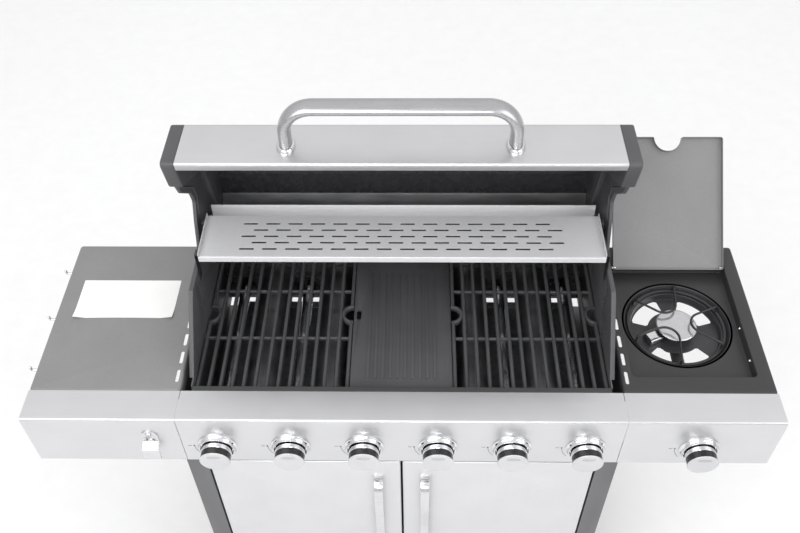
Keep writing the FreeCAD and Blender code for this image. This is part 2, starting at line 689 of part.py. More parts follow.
# ---- burners
def burner(x):
    """Tube burner, open at the front, closed at the rear, with a row of ports on each side."""
    y0, y1 = BOX_FRONT - TUBE_REACH, BOX_REAR - 15
    tube = rod(BURNER_R, (x, y0, BURNER_Z), (x, y1, BURNER_Z))
    tube = tube.cut(rod(BURNER_R - BURNER_WALL, (x, y0, BURNER_Z), (x, y1 - 3, BURNER_Z)))
    for i in range(16):
        y = 60 + i * 19
        tube = tube.cut(rod(1.6, (x - 20, y, BURNER_Z + 5), (x + 20, y, BURNER_Z + 5)))
    return tube


def deflector(x):
    """Curved heat deflector that stands on the ledges between two burners."""
    r, half = 52.0, 42.0
    drop = math.sqrt(r * r - half * half)
    top = TAMER_SEAT + r - drop
    shell = rod(r, (x, BOX_FRONT + 2, top - r), (x, BOX_REAR - 4, top - r))
    shell = shell.cut(rod(r - SHEET, (x, BOX_FRONT, top - r), (x, BOX_REAR, top - r)))
    return shell.common(box(x - half, x + half, BOX_FRONT, BOX_REAR, TAMER_SEAT, top))


def igniter(x):
    """Electrode beside a burner: ceramic body through a bracket on the front wall, and its tip."""
    z = BURNER_Z + BURNER_R + 5
    body = rod(4, (x + 16, BOX_FRONT, z), (x + 16, BOX_FRONT + 34, z))
    tip = rod(1.5, (x + 16, BOX_FRONT + 34, z), (x + 16, BOX_FRONT + 46, z))
    return fuse([body, tip])


nodes["burner_tubes"] = group([burner(x) for x in KNOB_XS[:-1]])
nodes["heat_deflectors"] = group([deflector(BURNER_PITCH * i) for i in range(-2, 3)])
nodes["igniters"] = group([igniter(x) for x in KNOB_XS[:-1]])


# ---- lid, drawn closed and then opened
LIP_LOW = H0 + 6
LID_REAR = (HINGE_Y + 57, H0 + 132)
OUTER = [(-46, LIP_LOW), (-15.5, H0 + 120), (107, H0 + 206), (165, H0 + 228), (HINGE_Y - 117, H0 + 236),
         (HINGE_Y - 57, H0 + 230), (HINGE_Y - 2, H0 + 206), (HINGE_Y + 38, H0 + 166), LID_REAR]
RIM = [LID_REAR, (150.7, H0 + 132), (140, H0 + 121), (32.2, LIP_LOW), (-46, LIP_LOW)]


def lid(shape):
    """Lid piece turned from closed to open."""
    return turn(shape, HINGE_Y, H0 + HINGE_H, -LID_OPEN)


CAP_IN = LID_W / 2 - CAP_W


def lid_panel():
    """Outer skin between the end caps, with a folded lip along its front edge."""
    skin = sheet(OUTER, SHEET, "x", -CAP_IN, CAP_IN)
    lip = box(-CAP_IN, CAP_IN, OUTER[0][0], OUTER[0][0] + LIP_DEPTH, LIP_LOW, LIP_LOW + SHEET)
    return fuse([skin, lip])


def lid_liner():
    """Inner skin, held off the panel, with a short foot on the lip. Its rear edge passes over the
    firebox's rear wall as the lid turns."""
    line = offset_line(OUTER, LINER_DROP)
    start = (OUTER[0][0] + LIP_DEPTH - SHEET, LIP_LOW + SHEET + 3 * SEAT)
    return sheet([start] + line[1:-1], SHEET, "x", -CAP_IN + SEAT, CAP_IN - SEAT)


def casting():
    """Right-hand end cap: side plate, a wall all round it, and outside the wing a skirt that runs
    down to the pivot."""
    x0, x1 = CAP_IN, LID_W / 2
    outline = OUTER + RIM[1:-1]
    block = plate(outline, "x", x0, x1)
    ring = OUTER + RIM[1:]
    inner = offset_line(ring[-2:-1] + ring + ring[1:2], CAP_WALL)[1:-1]
    pocket = plate(inner[:-1], "x", x0 - 1, ARM_X[1])
    block = block.cut(pocket)
    y, z = HINGE_Y, H0 + HINGE_H
    skirt = [(20, LIP_LOW), (134, H0 + 123), (150.7, H0 + 136)]
    skirt += [(y + 49, H0 + 136), (y + 45, H0 + 60), (y + 32, z - 18), (y + 14, z - 32)]
    skirt += [(y - 14, z - 34), (y - 91, H0 - 20), (y - 109, H0 - 2), (199, H0 + 26)]
    skirt += [(165, H0 + 57), (132, H0 + 55), (66, H0 + 14)]
    arm = plate(skirt, "x", *ARM_X)
    pin = rod(LID_PIN_R + RUN, (ARM_X[0] - 1, y, z), (ARM_X[1] + 1, y, z))
    return fuse([block, arm]).cut(pin)


def handle_point(across, up, out):
    """Point of the closed lid's front face: across in X, up along the face, out from it."""
    lean = math.atan2(OUTER[1][0] - OUTER[0][0], OUTER[1][1] - OUTER[0][1])
    y = OUTER[0][0] + up * math.sin(lean) - out * math.cos(lean)
    z = OUTER[0][1] + up * math.cos(lean) + out * math.sin(lean)
    return V(across, y, z)


def oval(out, grow):
    """Oval wire around the left leg, at a distance out from the front face."""
    centre = handle_point(-HANDLE_SPAN / 2, HANDLE_UP, out)
    top = handle_point(-HANDLE_SPAN / 2, HANDLE_UP + HANDLE_A + grow, out)
    side_point = handle_point(-HANDLE_SPAN / 2 + HANDLE_B + grow, HANDLE_UP, out)
    return Part.Wire(Part.Ellipse(top, side_point, centre).toShape())


def lid_handle():
    """Flat oval tube bent into a bridge: two legs, two bends and the bar."""
    half, r = HANDLE_SPAN / 2, HANDLE_BEND
    k = r * (1 - math.sqrt(0.5))
    def at(x, out):
        return handle_point(x, HANDLE_UP, out)
    top = HANDLE_RISE
    edges = [Part.LineSegment(at(-half, 0), at(-half, top - r)).toShape(),
             Part.Arc(at(-half, top - r), at(-half + k, top - k), at(-half + r, top)).toShape(),
             Part.LineSegment(at(-half + r, top), at(half - r, top)).toShape(),
             Part.Arc(at(half - r, top), at(half - k, top - k), at(half, top - r)).toShape(),
             Part.LineSegment(at(half, top - r), at(half, 0)).toShape()]
    path = Part.Wire(edges)
    outside = path.makePipeShell([oval(0, 0)], True, True)
    return outside.cut(path.makePipeShell([oval(0, -TUBE_WALL)], True, True))


def handle_bezel():
    """Oval collar around the left leg of the handle."""
    outer = Part.Face(oval(0, 6)).extrude(handle_point(0, 0, 10) - handle_point(0, 0, 0))
    return outer.cut(Part.Face(oval(0, SEAT)).extrude(handle_point(0, 0, 12) - handle_point(0, 0, 0)))


nodes["lid_panel"] = lid(lid_panel())
nodes["lid_liner"] = lid(lid_liner())
cast_right = casting()
nodes["lid_casting_right"] = lid(cast_right)
nodes["lid_casting_left"] = lid(mirror(cast_right))
nodes["lid_handle"] = lid(lid_handle())
left_collar = handle_bezel()
nodes["handle_bezels"] = lid(group([left_collar, mirror(left_collar)]))


# ---- cabinet
REAR_Y = BOX_REAR
RAIL_Z = H0 - FASCIA_H - RAIL_H
DOOR_X = SIDE_X - POST_W - DOOR_GAP
DOOR_LOW = DOOR_SILL + DOOR_GAP
DOOR_TOP = RAIL_Z - DOOR_GAP
HINGE_IN = 6.0
DOOR_HINGE_X = DOOR_X - HINGE_IN
DOOR_HINGE_Y = CABINET_FRONT + 5.0


def cabinet_side():
    """Right-hand side panel up to the shelf, with a runner for the grease tray."""
    wall = box(SIDE_X - SHEET, SIDE_X, CABINET_FRONT + POST_D, REAR_Y, FLOOR_Z, H0 - SHEET)
    wall = wall.cut(box(SIDE_X - SHEET, SIDE_X, CABINET_FRONT, SHEET + SEAT, H0 - FASCIA_H - SEAT, H0))
    wall = wall.cut(box(SIDE_X - SHEET, SIDE_X, SHELF_DEPTH - SHEET, REAR_Y + 1, H0 - SHELF_FLANGE, H0))
    z = H0 - TRAY_DROP - SEAT
    runner = box(TRAY_W / 2 - 8, SIDE_X - SHEET, 10, REAR_Y - SHEET, z - SHEET, z)
    return fuse([wall, runner])


def cabinet_floor():
    """Bottom tray with an upturned rim and a socket at each corner for a caster stem."""
    x, y0, y1 = SIDE_X - SHEET, CABINET_FRONT + POST_D, REAR_Y - SHEET
    tray = box(-x, x, y0, y1, FLOOR_Z, FLOOR_Z + 20)
    tray = tray.cut(box(-x + SHEET, x - SHEET, y0 + SHEET, y1 - SHEET, FLOOR_Z + SHEET, FLOOR_Z + 20))
    parts = [tray]
    for sx in (-1, 1):
        for y in CASTER_Y:
            front = min(y0, y - 22)
            parts.append(box(sx * CASTER_X - 22, sx * CASTER_X + 22, front, y + 22, FLOOR_Z - 12, FLOOR_Z))
    out = fuse(parts)
    for sx in (-1, 1):
        for y in CASTER_Y:
            top = FLOOR_Z + SHEET
            out = out.cut(rod(CASTER_STEM_R + RUN, (sx * CASTER_X, y, 0), (sx * CASTER_X, y, top)))
    return out


def front_frame():
    """Welded frame around the doors: two posts and two rails."""
    y0, y1 = CABINET_FRONT, CABINET_FRONT + POST_D
    top = H0 - FASCIA_H
    inner = SIDE_X - POST_W
    out = fuse([box(s * SIDE_X, s * inner, y0, y1, FLOOR_Z, top) for s in (-1, 1)]
               + [box(-inner, inner, y0, y1, RAIL_Z, top), box(-inner, inner, y0, y1, FLOOR_Z, DOOR_SILL)])
    t = TUBE_WALL
    for s in (-1, 1):
        out = out.cut(box(s * (SIDE_X - t), s * (inner + t), y0 + t, y1 - t, FLOOR_Z, top))
    out = out.cut(box(-inner, inner, y0 + t, y1 - t, RAIL_Z + t, top - t))
    return out.cut(box(-inner, inner, y0 + t, y1 - t, FLOOR_Z + t, DOOR_SILL - t))


def door():
    """Right-hand door: a pan with its rim turned in, hinged on pins at its outer edge."""
    x0, x1 = 2.0, DOOR_X
    y0, y1 = CABINET_FRONT, CABINET_FRONT + DOOR_T
    pan = box(x0, x1, y0, y1, DOOR_LOW, DOOR_TOP)
    pan = pan.cut(box(x0 + SHEET, x1 - SHEET, y0 + SHEET, y1, DOOR_LOW + 3, DOOR_TOP - 3))
    for z in (DOOR_LOW, DOOR_TOP - 3):
        start, stop = (DOOR_HINGE_X, DOOR_HINGE_Y, z), (DOOR_HINGE_X, DOOR_HINGE_Y, z + 3)
        pan = pan.cut(rod(DOOR_PIN_R + RUN, start, stop))
    return pan


def door_pull():
    """Right-hand door handle: a flat bar whose ends curve back to the door."""
    y = CABINET_FRONT
    z1 = DOOR_TOP - PULL_DROP
    z0 = z1 - PULL_LEN
    r = PULL_OUT
    a = r * (1 - math.sqrt(0.5))
    def arc(p, q, s):
        return Part.Arc(V(0, *p), V(0, *q), V(0, *s)).toShape()
    def line(p, q):
        return Part.LineSegment(V(0, *p), V(0, *q)).toShape()
    inner, b = r - PULL_T, (r - PULL_T) * (1 - math.sqrt(0.5))
    t = PULL_T
    edges = [line((y, z1), (y, z1 - t)),
             arc((y, z1 - t), (y - inner + b, z1 - t - b), (y - inner, z1 - r)),
             line((y - inner, z1 - r), (y - inner, z0 + r)),
             arc((y - inner, z0 + r), (y - inner + b, z0 + t + b), (y, z0 + t)),
             line((y, z0 + t), (y, z0)),
             arc((y, z0), (y - r + a, z0 + a), (y - r, z0 + r)),
             line((y - r, z0 + r), (y - r, z1 - r)),
             arc((y - r, z1 - r), (y - r + a, z1 - a), (y, z1))]
    face = Part.Face(Part.Wire(edges))
    face.translate(V(PULL_X - PULL_W / 2, 0, 0))
    return face.extrude(V(PULL_W, 0, 0))


right_side = cabinet_side()
nodes["cabinet_sides"] = group([right_side, mirror(right_side)])
back_x, back_top = SIDE_X - SHEET, H0 - TRAY_DROP - 8
nodes["cabinet_back"] = box(-back_x, back_x, REAR_Y - SHEET, REAR_Y, FLOOR_Z, back_top)
nodes["cabinet_floor"] = cabinet_floor()
nodes["front_frame"] = front_frame()
right_door = door()
nodes["door_right"] = right_door
nodes["door_left"] = mirror(right_door)
pull = door_pull()
nodes["door_handle_right"] = pull
nodes["door_handle_left"] = mirror(pull)


# ---- grease tray
def grease_tray():
    """Wide shallow tray on its runners, with a pull lip at the rear."""
    half = TRAY_W / 2
    y0, y1 = TRAY_Y
    z0 = H0 - TRAY_DROP
    tray = box(-half, half, y0, y1, z0, z0 + TRAY_H)
    tray = tray.cut(box(-half + SHEET, half - SHEET, y0 + SHEET, y1 - SHEET, z0 + SHEET, z0 + TRAY_H))
    return fuse([tray, box(-60, 60, y1, y1 + 22, z0 + TRAY_H - SHEET, z0 + TRAY_H)])


nodes["grease_tray"] = grease_tray()


# ---- pins and screws
def pin_pair(shape):
    """A pin and its mirror image."""
    return [shape, mirror(shape)]


def hinge_pins():
    """Lid pivots, door pins and side lid pins."""
    z = H0 + HINGE_H
    shank = rod(LID_PIN_R, (COOK_X - 2, HINGE_Y, z), (ARM_X[1] + 1, HINGE_Y, z))
    head = rod(LID_PIN_R + 4, (COOK_X - 6, HINGE_Y, z), (COOK_X, HINGE_Y, z))
    pins = pin_pair(fuse([shank, head]))
    for z0, z1 in ((DOOR_SILL, DOOR_LOW + 8), (DOOR_TOP - 8, RAIL_Z)):
        pins += pin_pair(rod(DOOR_PIN_R, (DOOR_HINGE_X, DOOR_HINGE_Y, z0), (DOOR_HINGE_X, DOOR_HINGE_Y, z1)))
    z = SIDE_HINGE_Z
    x0, x1 = RECESS_X
    for x, s in ((x0, 1), (x1, -1)):
        pins.append(rod(SIDE_PIN_R, (x - s * SHEET, SIDE_HINGE_Y, z), (x + s * 10, SIDE_HINGE_Y, z)))
    return group(pins)


def fasteners():
    """Opener screw, well screws and shelf screws, each with a round head."""
    y = -FASCIA_DEPTH - 3
    out = [fuse([rod(6, (OPENER_X, y, OPENER_SCREW), (OPENER_X, y - 4, OPENER_SCREW)),
                 rod(3.5, (OPENER_X, y, OPENER_SCREW), (OPENER_X, y + 3, OPENER_SCREW))])]
    for wall_y in WELL_SCREWS:
        out.append(rod(3.5, (RECESS_X[1], wall_y, H0 - 12), (RECESS_X[1] - 3, wall_y, H0 - 12)))
    return group(out)


nodes["hinge_pins"] = hinge_pins()
nodes["fasteners"] = fasteners()


# ---- casters
def caster_fork(x, y):
    """Swivel fork: stem, top plate, two cheeks and the axle."""
    top = FLOOR_Z - 12 - SEAT
    half = WHEEL_W / 2 + 2
    cheek = [(-14, top), (14, top), (TRAIL + 24, top - 3), (TRAIL + 26, WHEEL_R + 22),
             (TRAIL + 9, WHEEL_R - 9), (TRAIL - 9, WHEEL_R - 9), (-14, top - 8)]
    parts = [box(-half - 3, half + 3, -14, 14, top - 3, top),
             rod(CASTER_STEM_R, (0, 0, top - 3), (0, 0, FLOOR_Z - 2 * SEAT))]
    parts += [plate(cheek, "x", s * half, s * (half + 3)) for s in (-1, 1)]
    parts.append(rod(AXLE_R, (-half - 3, TRAIL, WHEEL_R), (half + 3, TRAIL, WHEEL_R)))
    if y < 0:
        parts.append(rod(BRAKE_PIN_R, (-half, BRAKE_Y, BRAKE_Z), (half, BRAKE_Y, BRAKE_Z)))
    out = fuse(parts)
    out.translate(V(x, y, 0))
    return out


BRAKE_Y = TRAIL + 18
BRAKE_Z = 2 * WHEEL_R + 4.5
BRAKE_PIN_R = 2.0


def caster_wheel(x, y):
    """Rubber-tyred wheel with a rounded tread, free on its axle."""
    half = WHEEL_W / 2
    profile = [(AXLE_R + RUN, -half), (WHEEL_R - 3, -half), (WHEEL_R, -half + 4), (WHEEL_R, half - 4),
               (WHEEL_R - 3, half), (AXLE_R + RUN, half)]
    face = Part.Face(Part.makePolygon([V(w, r, 0) for r, w in profile + profile[:1]]))
    wheel = face.revolve(V(0, 0, 0), V(1, 0, 0), 360)
    wheel.translate(V(x, y + TRAIL, WHEEL_R))
    return wheel


def brake_lever(x, y):
    """Foot lever on a pin between the fork's cheeks."""
    py, pz = BRAKE_Y, BRAKE_Z
    hub = rod(5, (-10, py, pz), (10, py, pz))
    pedal = plate([(py, pz + 4), (py + 30, pz - 4), (py + 30, pz - 8), (py, pz - 1)], "x", -10, 10)
    out = fuse([hub, pedal]).cut(rod(BRAKE_PIN_R + RUN, (-11, py, pz), (11, py, pz)))
    out.translate(V(x, y, 0))
    return out


for side_name, sx in (("left", -1), ("right", 1)):
    for end_name, cy in zip(("front", "rear"), CASTER_Y):
        nodes[f"caster_fork_{end_name}_{side_name}"] = caster_fork(sx * CASTER_X, cy)
        nodes[f"caster_wheel_{end_name}_{side_name}"] = caster_wheel(sx * CASTER_X, cy)
    nodes[f"brake_lever_{side_name}"] = brake_lever(sx * CASTER_X, CASTER_Y[0])

# ---- export about the centre of the whole object, on the floor
everything = Part.makeCompound(list(nodes.values())).BoundBox
ORIGIN = V(-(everything.XMin + everything.XMax) / 2, -(everything.YMin + everything.YMax) / 2, 0)
os.makedirs("parts", exist_ok=True)
for name, shape in nodes.items():
    placed = shape.copy()
    placed.translate(ORIGIN)
    placed.exportStep(f"parts/{name}.step")
print(len(nodes), "nodes, moved by", ORIGIN, "box", everything)
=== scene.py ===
import json
import logging
import math
from dataclasses import dataclass, field
from enum import Enum

import bmesh
import bpy
import numpy as np
from mathutils import Matrix, Vector
from mathutils.geometry import delaunay_2d_cdt


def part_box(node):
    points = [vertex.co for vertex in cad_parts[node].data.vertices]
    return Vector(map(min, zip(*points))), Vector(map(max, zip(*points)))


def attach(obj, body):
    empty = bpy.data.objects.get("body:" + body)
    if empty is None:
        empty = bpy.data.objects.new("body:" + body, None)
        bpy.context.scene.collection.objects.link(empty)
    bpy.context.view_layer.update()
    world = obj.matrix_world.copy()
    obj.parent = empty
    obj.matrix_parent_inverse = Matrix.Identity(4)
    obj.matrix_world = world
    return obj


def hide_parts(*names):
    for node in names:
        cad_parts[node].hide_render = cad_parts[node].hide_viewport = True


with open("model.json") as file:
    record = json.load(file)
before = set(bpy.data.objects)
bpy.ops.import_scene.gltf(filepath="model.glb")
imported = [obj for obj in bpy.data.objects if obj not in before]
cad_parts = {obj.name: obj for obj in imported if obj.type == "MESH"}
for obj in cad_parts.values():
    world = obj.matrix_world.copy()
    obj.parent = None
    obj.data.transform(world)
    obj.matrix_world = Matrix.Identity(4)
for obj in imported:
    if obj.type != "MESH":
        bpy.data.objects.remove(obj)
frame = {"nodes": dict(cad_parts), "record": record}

LOG = logging.getLogger("grill")
Points = np.ndarray
MM = 1000.0
SHARP = 38.0            # degrees above which an edge stays sharp
WELD = 2e-5             # metres within which a new piece's seams are joined
CAD_WELD = 2e-6         # metres within which a CAD node's loose corners are joined
STRAIGHT = 1.565        # radians; a corner whose half angle is larger isn't rounded
MITRE = 0.35            # keeps a moved corner from running far out where it is very sharp
BODY_OF = {node: body for body, nodes in frame["record"]["behaviour"]["bodies"].items() for node in nodes}
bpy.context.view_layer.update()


# ---------------------------------------------------------------- places
@dataclass(frozen=True)
class Datum:
    """Where the maker's axes lie in the frame, in millimetres."""
    middle: float
    front: float
    top: float

    @classmethod
    def from_frame(cls) -> "Datum":
        """Reads the axes off the control panel and the left shelf.

        Returns:
            The datum: middle of the panel, front edge and top of the shelf.
        """
        low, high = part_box("fascia_main")
        shelf_low, shelf_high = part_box("shelf_left")
        return cls(MM * (low[0] + high[0]) / 2, MM * shelf_low[1], MM * shelf_high[2])

    def metres(self, points: Points) -> Points:
        """Maker's millimetres turned to the frame's metres."""
        return (np.asarray(points, float) + [self.middle, self.front, 0.0]) / MM


DATUM = Datum.from_frame()
TOP = DATUM.top


class Plane(Enum):
    """Which two axes an outline lies in; the third is the level. Values are (u, v, level)."""
    SIDE = (1, 2, 0)
    FLAT = (0, 1, 2)
    FACE = (0, 2, 1)

    def lay(self, outline: Points, level: float) -> Points:
        """Puts an outline in space.

        Args:
            outline: N x 2 points.
            level: place along the third axis.

        Returns:
            N x 3 points.
        """
        out = np.full((len(outline), 3), float(level))
        out[:, self.value[0]], out[:, self.value[1]] = outline[:, 0], outline[:, 1]
        return out


class Side(Enum):
    """Side of the grill, seen from the front. Values are the words used in names."""
    RIGHT = "right"
    LEFT = "left"


class Axis(Enum):
    """Axis of a turned part. Values are the axis and the two directions across it."""
    RIGHT = ((1, 0, 0), (0, 1, 0), (0, 0, 1))
    FRONT = ((0, -1, 0), (1, 0, 0), (0, 0, 1))
    REAR = ((0, 1, 0), (0, 0, 1), (1, 0, 0))
    UP = ((0, 0, 1), (1, 0, 0), (0, 1, 0))


# ---------------------------------------------------------------- outlines
def fold(points: list, radii: float | list[float], steps: int = 6) -> Points:
    """Open line with each inner corner replaced by an arc that touches both runs.

    The arc's centre lies on the corner's bisector, at radius / sin(half the corner's angle), and
    its points turn evenly from one touching point to the other.

    Args:
        points: corners of the line, in 2 or 3 dimensions.
        radii: one radius for all inner corners, or one each.
        steps: number of parts in each arc.

    Returns:
        The rounded line.
    """
    p = np.asarray(points, float)
    radii = [radii] * (len(p) - 2) if isinstance(radii, (int, float)) else radii
    out = [p[:1]]
    for before, corner, after, r in zip(p, p[1:], p[2:], radii):
        a, b = before - corner, after - corner
        a, b = a / np.linalg.norm(a), b / np.linalg.norm(b)
        half = math.acos(float(np.clip(a @ b, -1, 1))) / 2
        if r <= 0 or half > STRAIGHT:
            out.append(corner[None])
            continue
        centre = corner + (a + b) / np.linalg.norm(a + b) * r / math.sin(half)
        s, e = corner + a * r / math.tan(half) - centre, corner + b * r / math.tan(half) - centre
        turn = math.pi - 2 * half
        k = np.linspace(0, 1, steps + 1)[:, None]
        out.append(centre + (np.sin((1 - k) * turn) * s + np.sin(k * turn) * e) / math.sin(turn))
    return np.vstack(out + [p[-1:]])


def fold_loop(points: list, radii: float | list[float], steps: int = 6) -> Points:
    """Closed outline with every corner rounded, as fold() does it."""
    p = np.asarray(points, float)
    radii = [radii] * len(p) if isinstance(radii, (int, float)) else list(radii)
    start = (p[-1:] + p[:1]) / 2
    return fold(np.vstack([start, p, start]), radii, steps)[:-1]


def rectangle(u0: float, u1: float, v0: float, v1: float, radius: float, steps: int = 6) -> Points:
    """Anticlockwise rectangle with round corners."""
    return fold_loop([(u0, v0), (u1, v0), (u1, v1), (u0, v1)], radius, steps)


def circle(u: float, v: float, radius: float, count: int = 48) -> Points:
    """Anticlockwise circle."""
    a = np.arange(count) * 2 * math.pi / count
    return np.stack([u + radius * np.cos(a), v + radius * np.sin(a)], axis=1)


def slot_outline(u: float, v: float, length: float, width: float, upright: bool) -> Points:
    """Round-ended slot, along v if upright and along u if not."""
    du, dv = (width / 2, length / 2) if upright else (length / 2, width / 2)
    return rectangle(u - du, u + du, v - dv, v + dv, 0.499 * width, 5)


def inset(loop: Points, depth: float, closed: bool = True) -> Points:
    """Line moved sideways to its left by depth, which is inwards for an anticlockwise loop.

    Each point moves along the mean of the normals of its two runs, far enough for both runs to
    move by the full depth.

    Args:
        loop: N x 2 points.
        depth: distance; negative moves outwards.
        closed: whether the last point joins the first.

    Returns:
        The moved points, as many as before.
    """
    runs = np.roll(loop, -1, axis=0) - loop
    runs /= np.maximum(np.linalg.norm(runs, axis=1), 1e-9)[:, None]
    after = np.stack([-runs[:, 1], runs[:, 0]], axis=1)
    before = np.roll(after, 1, axis=0)
    if not closed:
        before[0], after[-1] = after[0], before[-1]
    both = before + after
    return loop + depth * 2 * both / np.maximum((both * both).sum(axis=1), MITRE)[:, None]


def quarter_round(outline: Points, radius: float, level: float, way: int,
                  steps: int = 5) -> list[tuple[Points, float]]:
    """Outlines that round a plate's edge. At angle t, from 0 to a right angle, the outline is inset
    by radius * (1 - sin t) and lies radius * (1 - cos t) from the level.

    Args:
        outline: anticlockwise loop.
        radius: radius of the edge; negative for an edge that flares outwards.
        level: level of the plate's face.
        way: 1 if the plate lies above its face and -1 if below.
        steps: number of outlines.

    Returns:
        The outlines with their levels, from the face to the plate's side.
    """
    return [(inset(outline, radius * (1 - math.sin(t))), level + way * radius * (1 - math.cos(t)))
            for t in np.linspace(0, math.pi / 2, steps)]


# ---------------------------------------------------------------- surfaces
class Skin:
    """Surface patches gathered into one mesh, in the maker's millimetres."""

    def __init__(self) -> None:
        """Starts with no patches."""
        self.points: list[Points] = []
        self.faces: list[list[int]] = []
        self.slots: list[int] = []
        self.count = 0

    def take(self, points: Points, faces: list, slot: int) -> "Skin":
        """Adds points and the faces over them.

        Args:
            points: N x 3 points.
            faces: lists of indices into these points.
            slot: material slot of the faces.

        Returns:
            The skin, for chaining.
        """
        self.faces += [[i + self.count for i in face] for face in faces]
        self.slots += [slot] * len(faces)
        self.points.append(np.array(points, float))
        self.count += len(points)
        return self

    def patch(self, grid: Points, wrap_u: bool = False, wrap_v: bool = False, slot: int = 0) -> "Skin":
        """Quads over a grid of points.

        Args:
            grid: U x V x 3 points.
            wrap_u: whether the last row joins the first.
            wrap_v: whether the last column joins the first.
            slot: material slot.

        Returns:
            The skin.
        """
        index = np.arange(grid.shape[0] * grid.shape[1]).reshape(grid.shape[:2])
        if wrap_u:
            index = np.vstack([index, index[:1]])
        if wrap_v:
            index = np.hstack([index, index[:, :1]])
        quads = np.stack([index[:-1, :-1], index[:-1, 1:], index[1:, 1:], index[1:, :-1]], axis=-1)
        return self.take(grid.reshape(-1, 3), quads.reshape(-1, 4).tolist(), slot)

    def polygon(self, loop: Points, slot: int = 0) -> "Skin":
        """One flat face over a loop of points."""
        return self.take(loop, [list(range(len(loop)))], slot)

    def filled(self, outline: Points, holes: list[Points], plane: Plane, level: float,
               slot: int = 0) -> "Skin":
        """Flat sheet with holes, cut into triangles that keep every edge of the outlines. Loop 0 is
        the outer one, so a triangle that lies in any other loop is in a hole and is left out.

        Args:
            outline: outer loop, N x 2.
            holes: inner loops.
            plane: plane of the sheet.
            level: its place along the third axis.
            slot: material slot.

        Returns:
            The skin.
        """
        loops = [outline] + holes
        points = [Vector(p) for loop in loops for p in loop.tolist()]
        ends = np.cumsum([0] + [len(loop) for loop in loops])
        faces = [list(range(a, b)) for a, b in zip(ends, ends[1:])]
        flat, _, found, _, _, source = delaunay_2d_cdt(points, [], faces, 1, 1e-5)
        kept = [list(face) for face, inside in zip(found, source) if not any(inside)]
        return self.take(plane.lay(np.array([tuple(p) for p in flat]), level), kept, slot)

    def stack(self, loops: list[tuple[Points, float]], plane: Plane, close: tuple[bool, bool],
              slot: int = 0) -> "Skin":
        """Wall through closed outlines of equal count, one above the other.

        Args:
            loops: outlines with their levels.
            plane: plane of the outlines.
            close: whether to close the first and the last outline with a flat face.
            slot: material slot.

        Returns:
            The skin.
        """
        grid = np.stack([plane.lay(outline, level) for outline, level in loops])
        self.patch(grid, wrap_v=True, slot=slot)
        for wanted, loop in zip(close, (grid[0], grid[-1])):
            if wanted:
                self.polygon(loop, slot)
        return self

    def slab(self, outline: Points, plane: Plane, low: float, high: float, edge: float,
             slot: int = 0) -> "Skin":
        """Solid plate with rounded edges.

        Args:
            outline: anticlockwise loop.
            plane: plane of the outline.
            low: first level.
            high: last level.
            edge: radius of the edges.
            slot: material slot.

        Returns:
            The skin.
        """
        first = quarter_round(outline, edge, low, 1, 4)
        last = quarter_round(outline, edge, high, -1, 4)[::-1]
        return self.stack(first + last, plane, (True, True), slot)

    def lathe(self, profile: list | Points, centre: tuple, axis: Axis, slot: int = 0,
              segments: int = 64) -> "Skin":
        """Surface of revolution: each profile point (radius, height) goes round the axis.

        Args:
            profile: points (radius, height along the axis).
            centre: where height 0 is.
            axis: direction of the axis.
            slot: material slot.
            segments: number of parts round the axis.

        Returns:
            The skin.
        """
        profile = np.asarray(profile, float)
        along, across, other = (np.array(v, float) for v in axis.value)
        a = np.arange(segments) * 2 * math.pi / segments
        ring = np.cos(a)[:, None] * across + np.sin(a)[:, None] * other
        grid = np.array(centre) + profile[:, None, :1] * ring + profile[:, None, 1:] * along
        return self.patch(grid, wrap_v=True, slot=slot)

    def sweep(self, section: Points, path: Points, up: tuple, closed: bool = False,
              slot: int = 0) -> "Skin":
        """Section carried along a path. At each point it stands across the path's direction, with
        its second axis as near to up as that allows.

        Args:
            section: closed loop of (across, up) points.
            path: N x 3 points.
            up: direction of the section's second axis.
            closed: whether the path's end joins its start.
            slot: material slot.

        Returns:
            The skin.
        """
        way = np.asarray(path, float)
        if closed:
            along = np.roll(way, -1, axis=0) - np.roll(way, 1, axis=0)
        else:
            along = np.vstack([way[1] - way[0], way[2:] - way[:-2], way[-1] - way[-2]])
        along /= np.linalg.norm(along, axis=1)[:, None]
        side = np.cross(along, np.array(up, float))
        side /= np.linalg.norm(side, axis=1)[:, None]
        rise = np.cross(side, along)
        grid = way[:, None] + section[None, :, :1] * side[:, None] + section[None, :, 1:] * rise[:, None]
        self.patch(grid, wrap_u=closed, wrap_v=True, slot=slot)
        if not closed:
            self.polygon(grid[0], slot).polygon(grid[-1], slot)
        return self

    def join(self, other: "Skin") -> "Skin":
        """Adds all of another skin's patches."""
        self.faces += [[i + self.count for i in face] for face in other.faces]
        self.slots += other.slots
        self.points += other.points
        self.count += other.count
        return self

    def turned(self, y: float, z: float, degrees: float) -> "Skin":
        """All points turned about a line along X through (y, z)."""
        a = math.radians(degrees)
        c, s = math.cos(a), math.sin(a)
        for points in self.points:
            dy, dz = points[:, 1] - y, points[:, 2] - z
            points[:, 1], points[:, 2] = y + c * dy - s * dz, z + s * dy + c * dz
        return self

    def on(self, side: Side) -> "Skin":
        """The skin, which is made on the right, or its mirror image across X = 0."""
        if side is Side.RIGHT:
            return self
        out = Skin()
        out.points = [p * [-1, 1, 1] for p in self.points]
        out.faces = [face[::-1] for face in self.faces]
        out.slots, out.count = list(self.slots), self.count
        return out


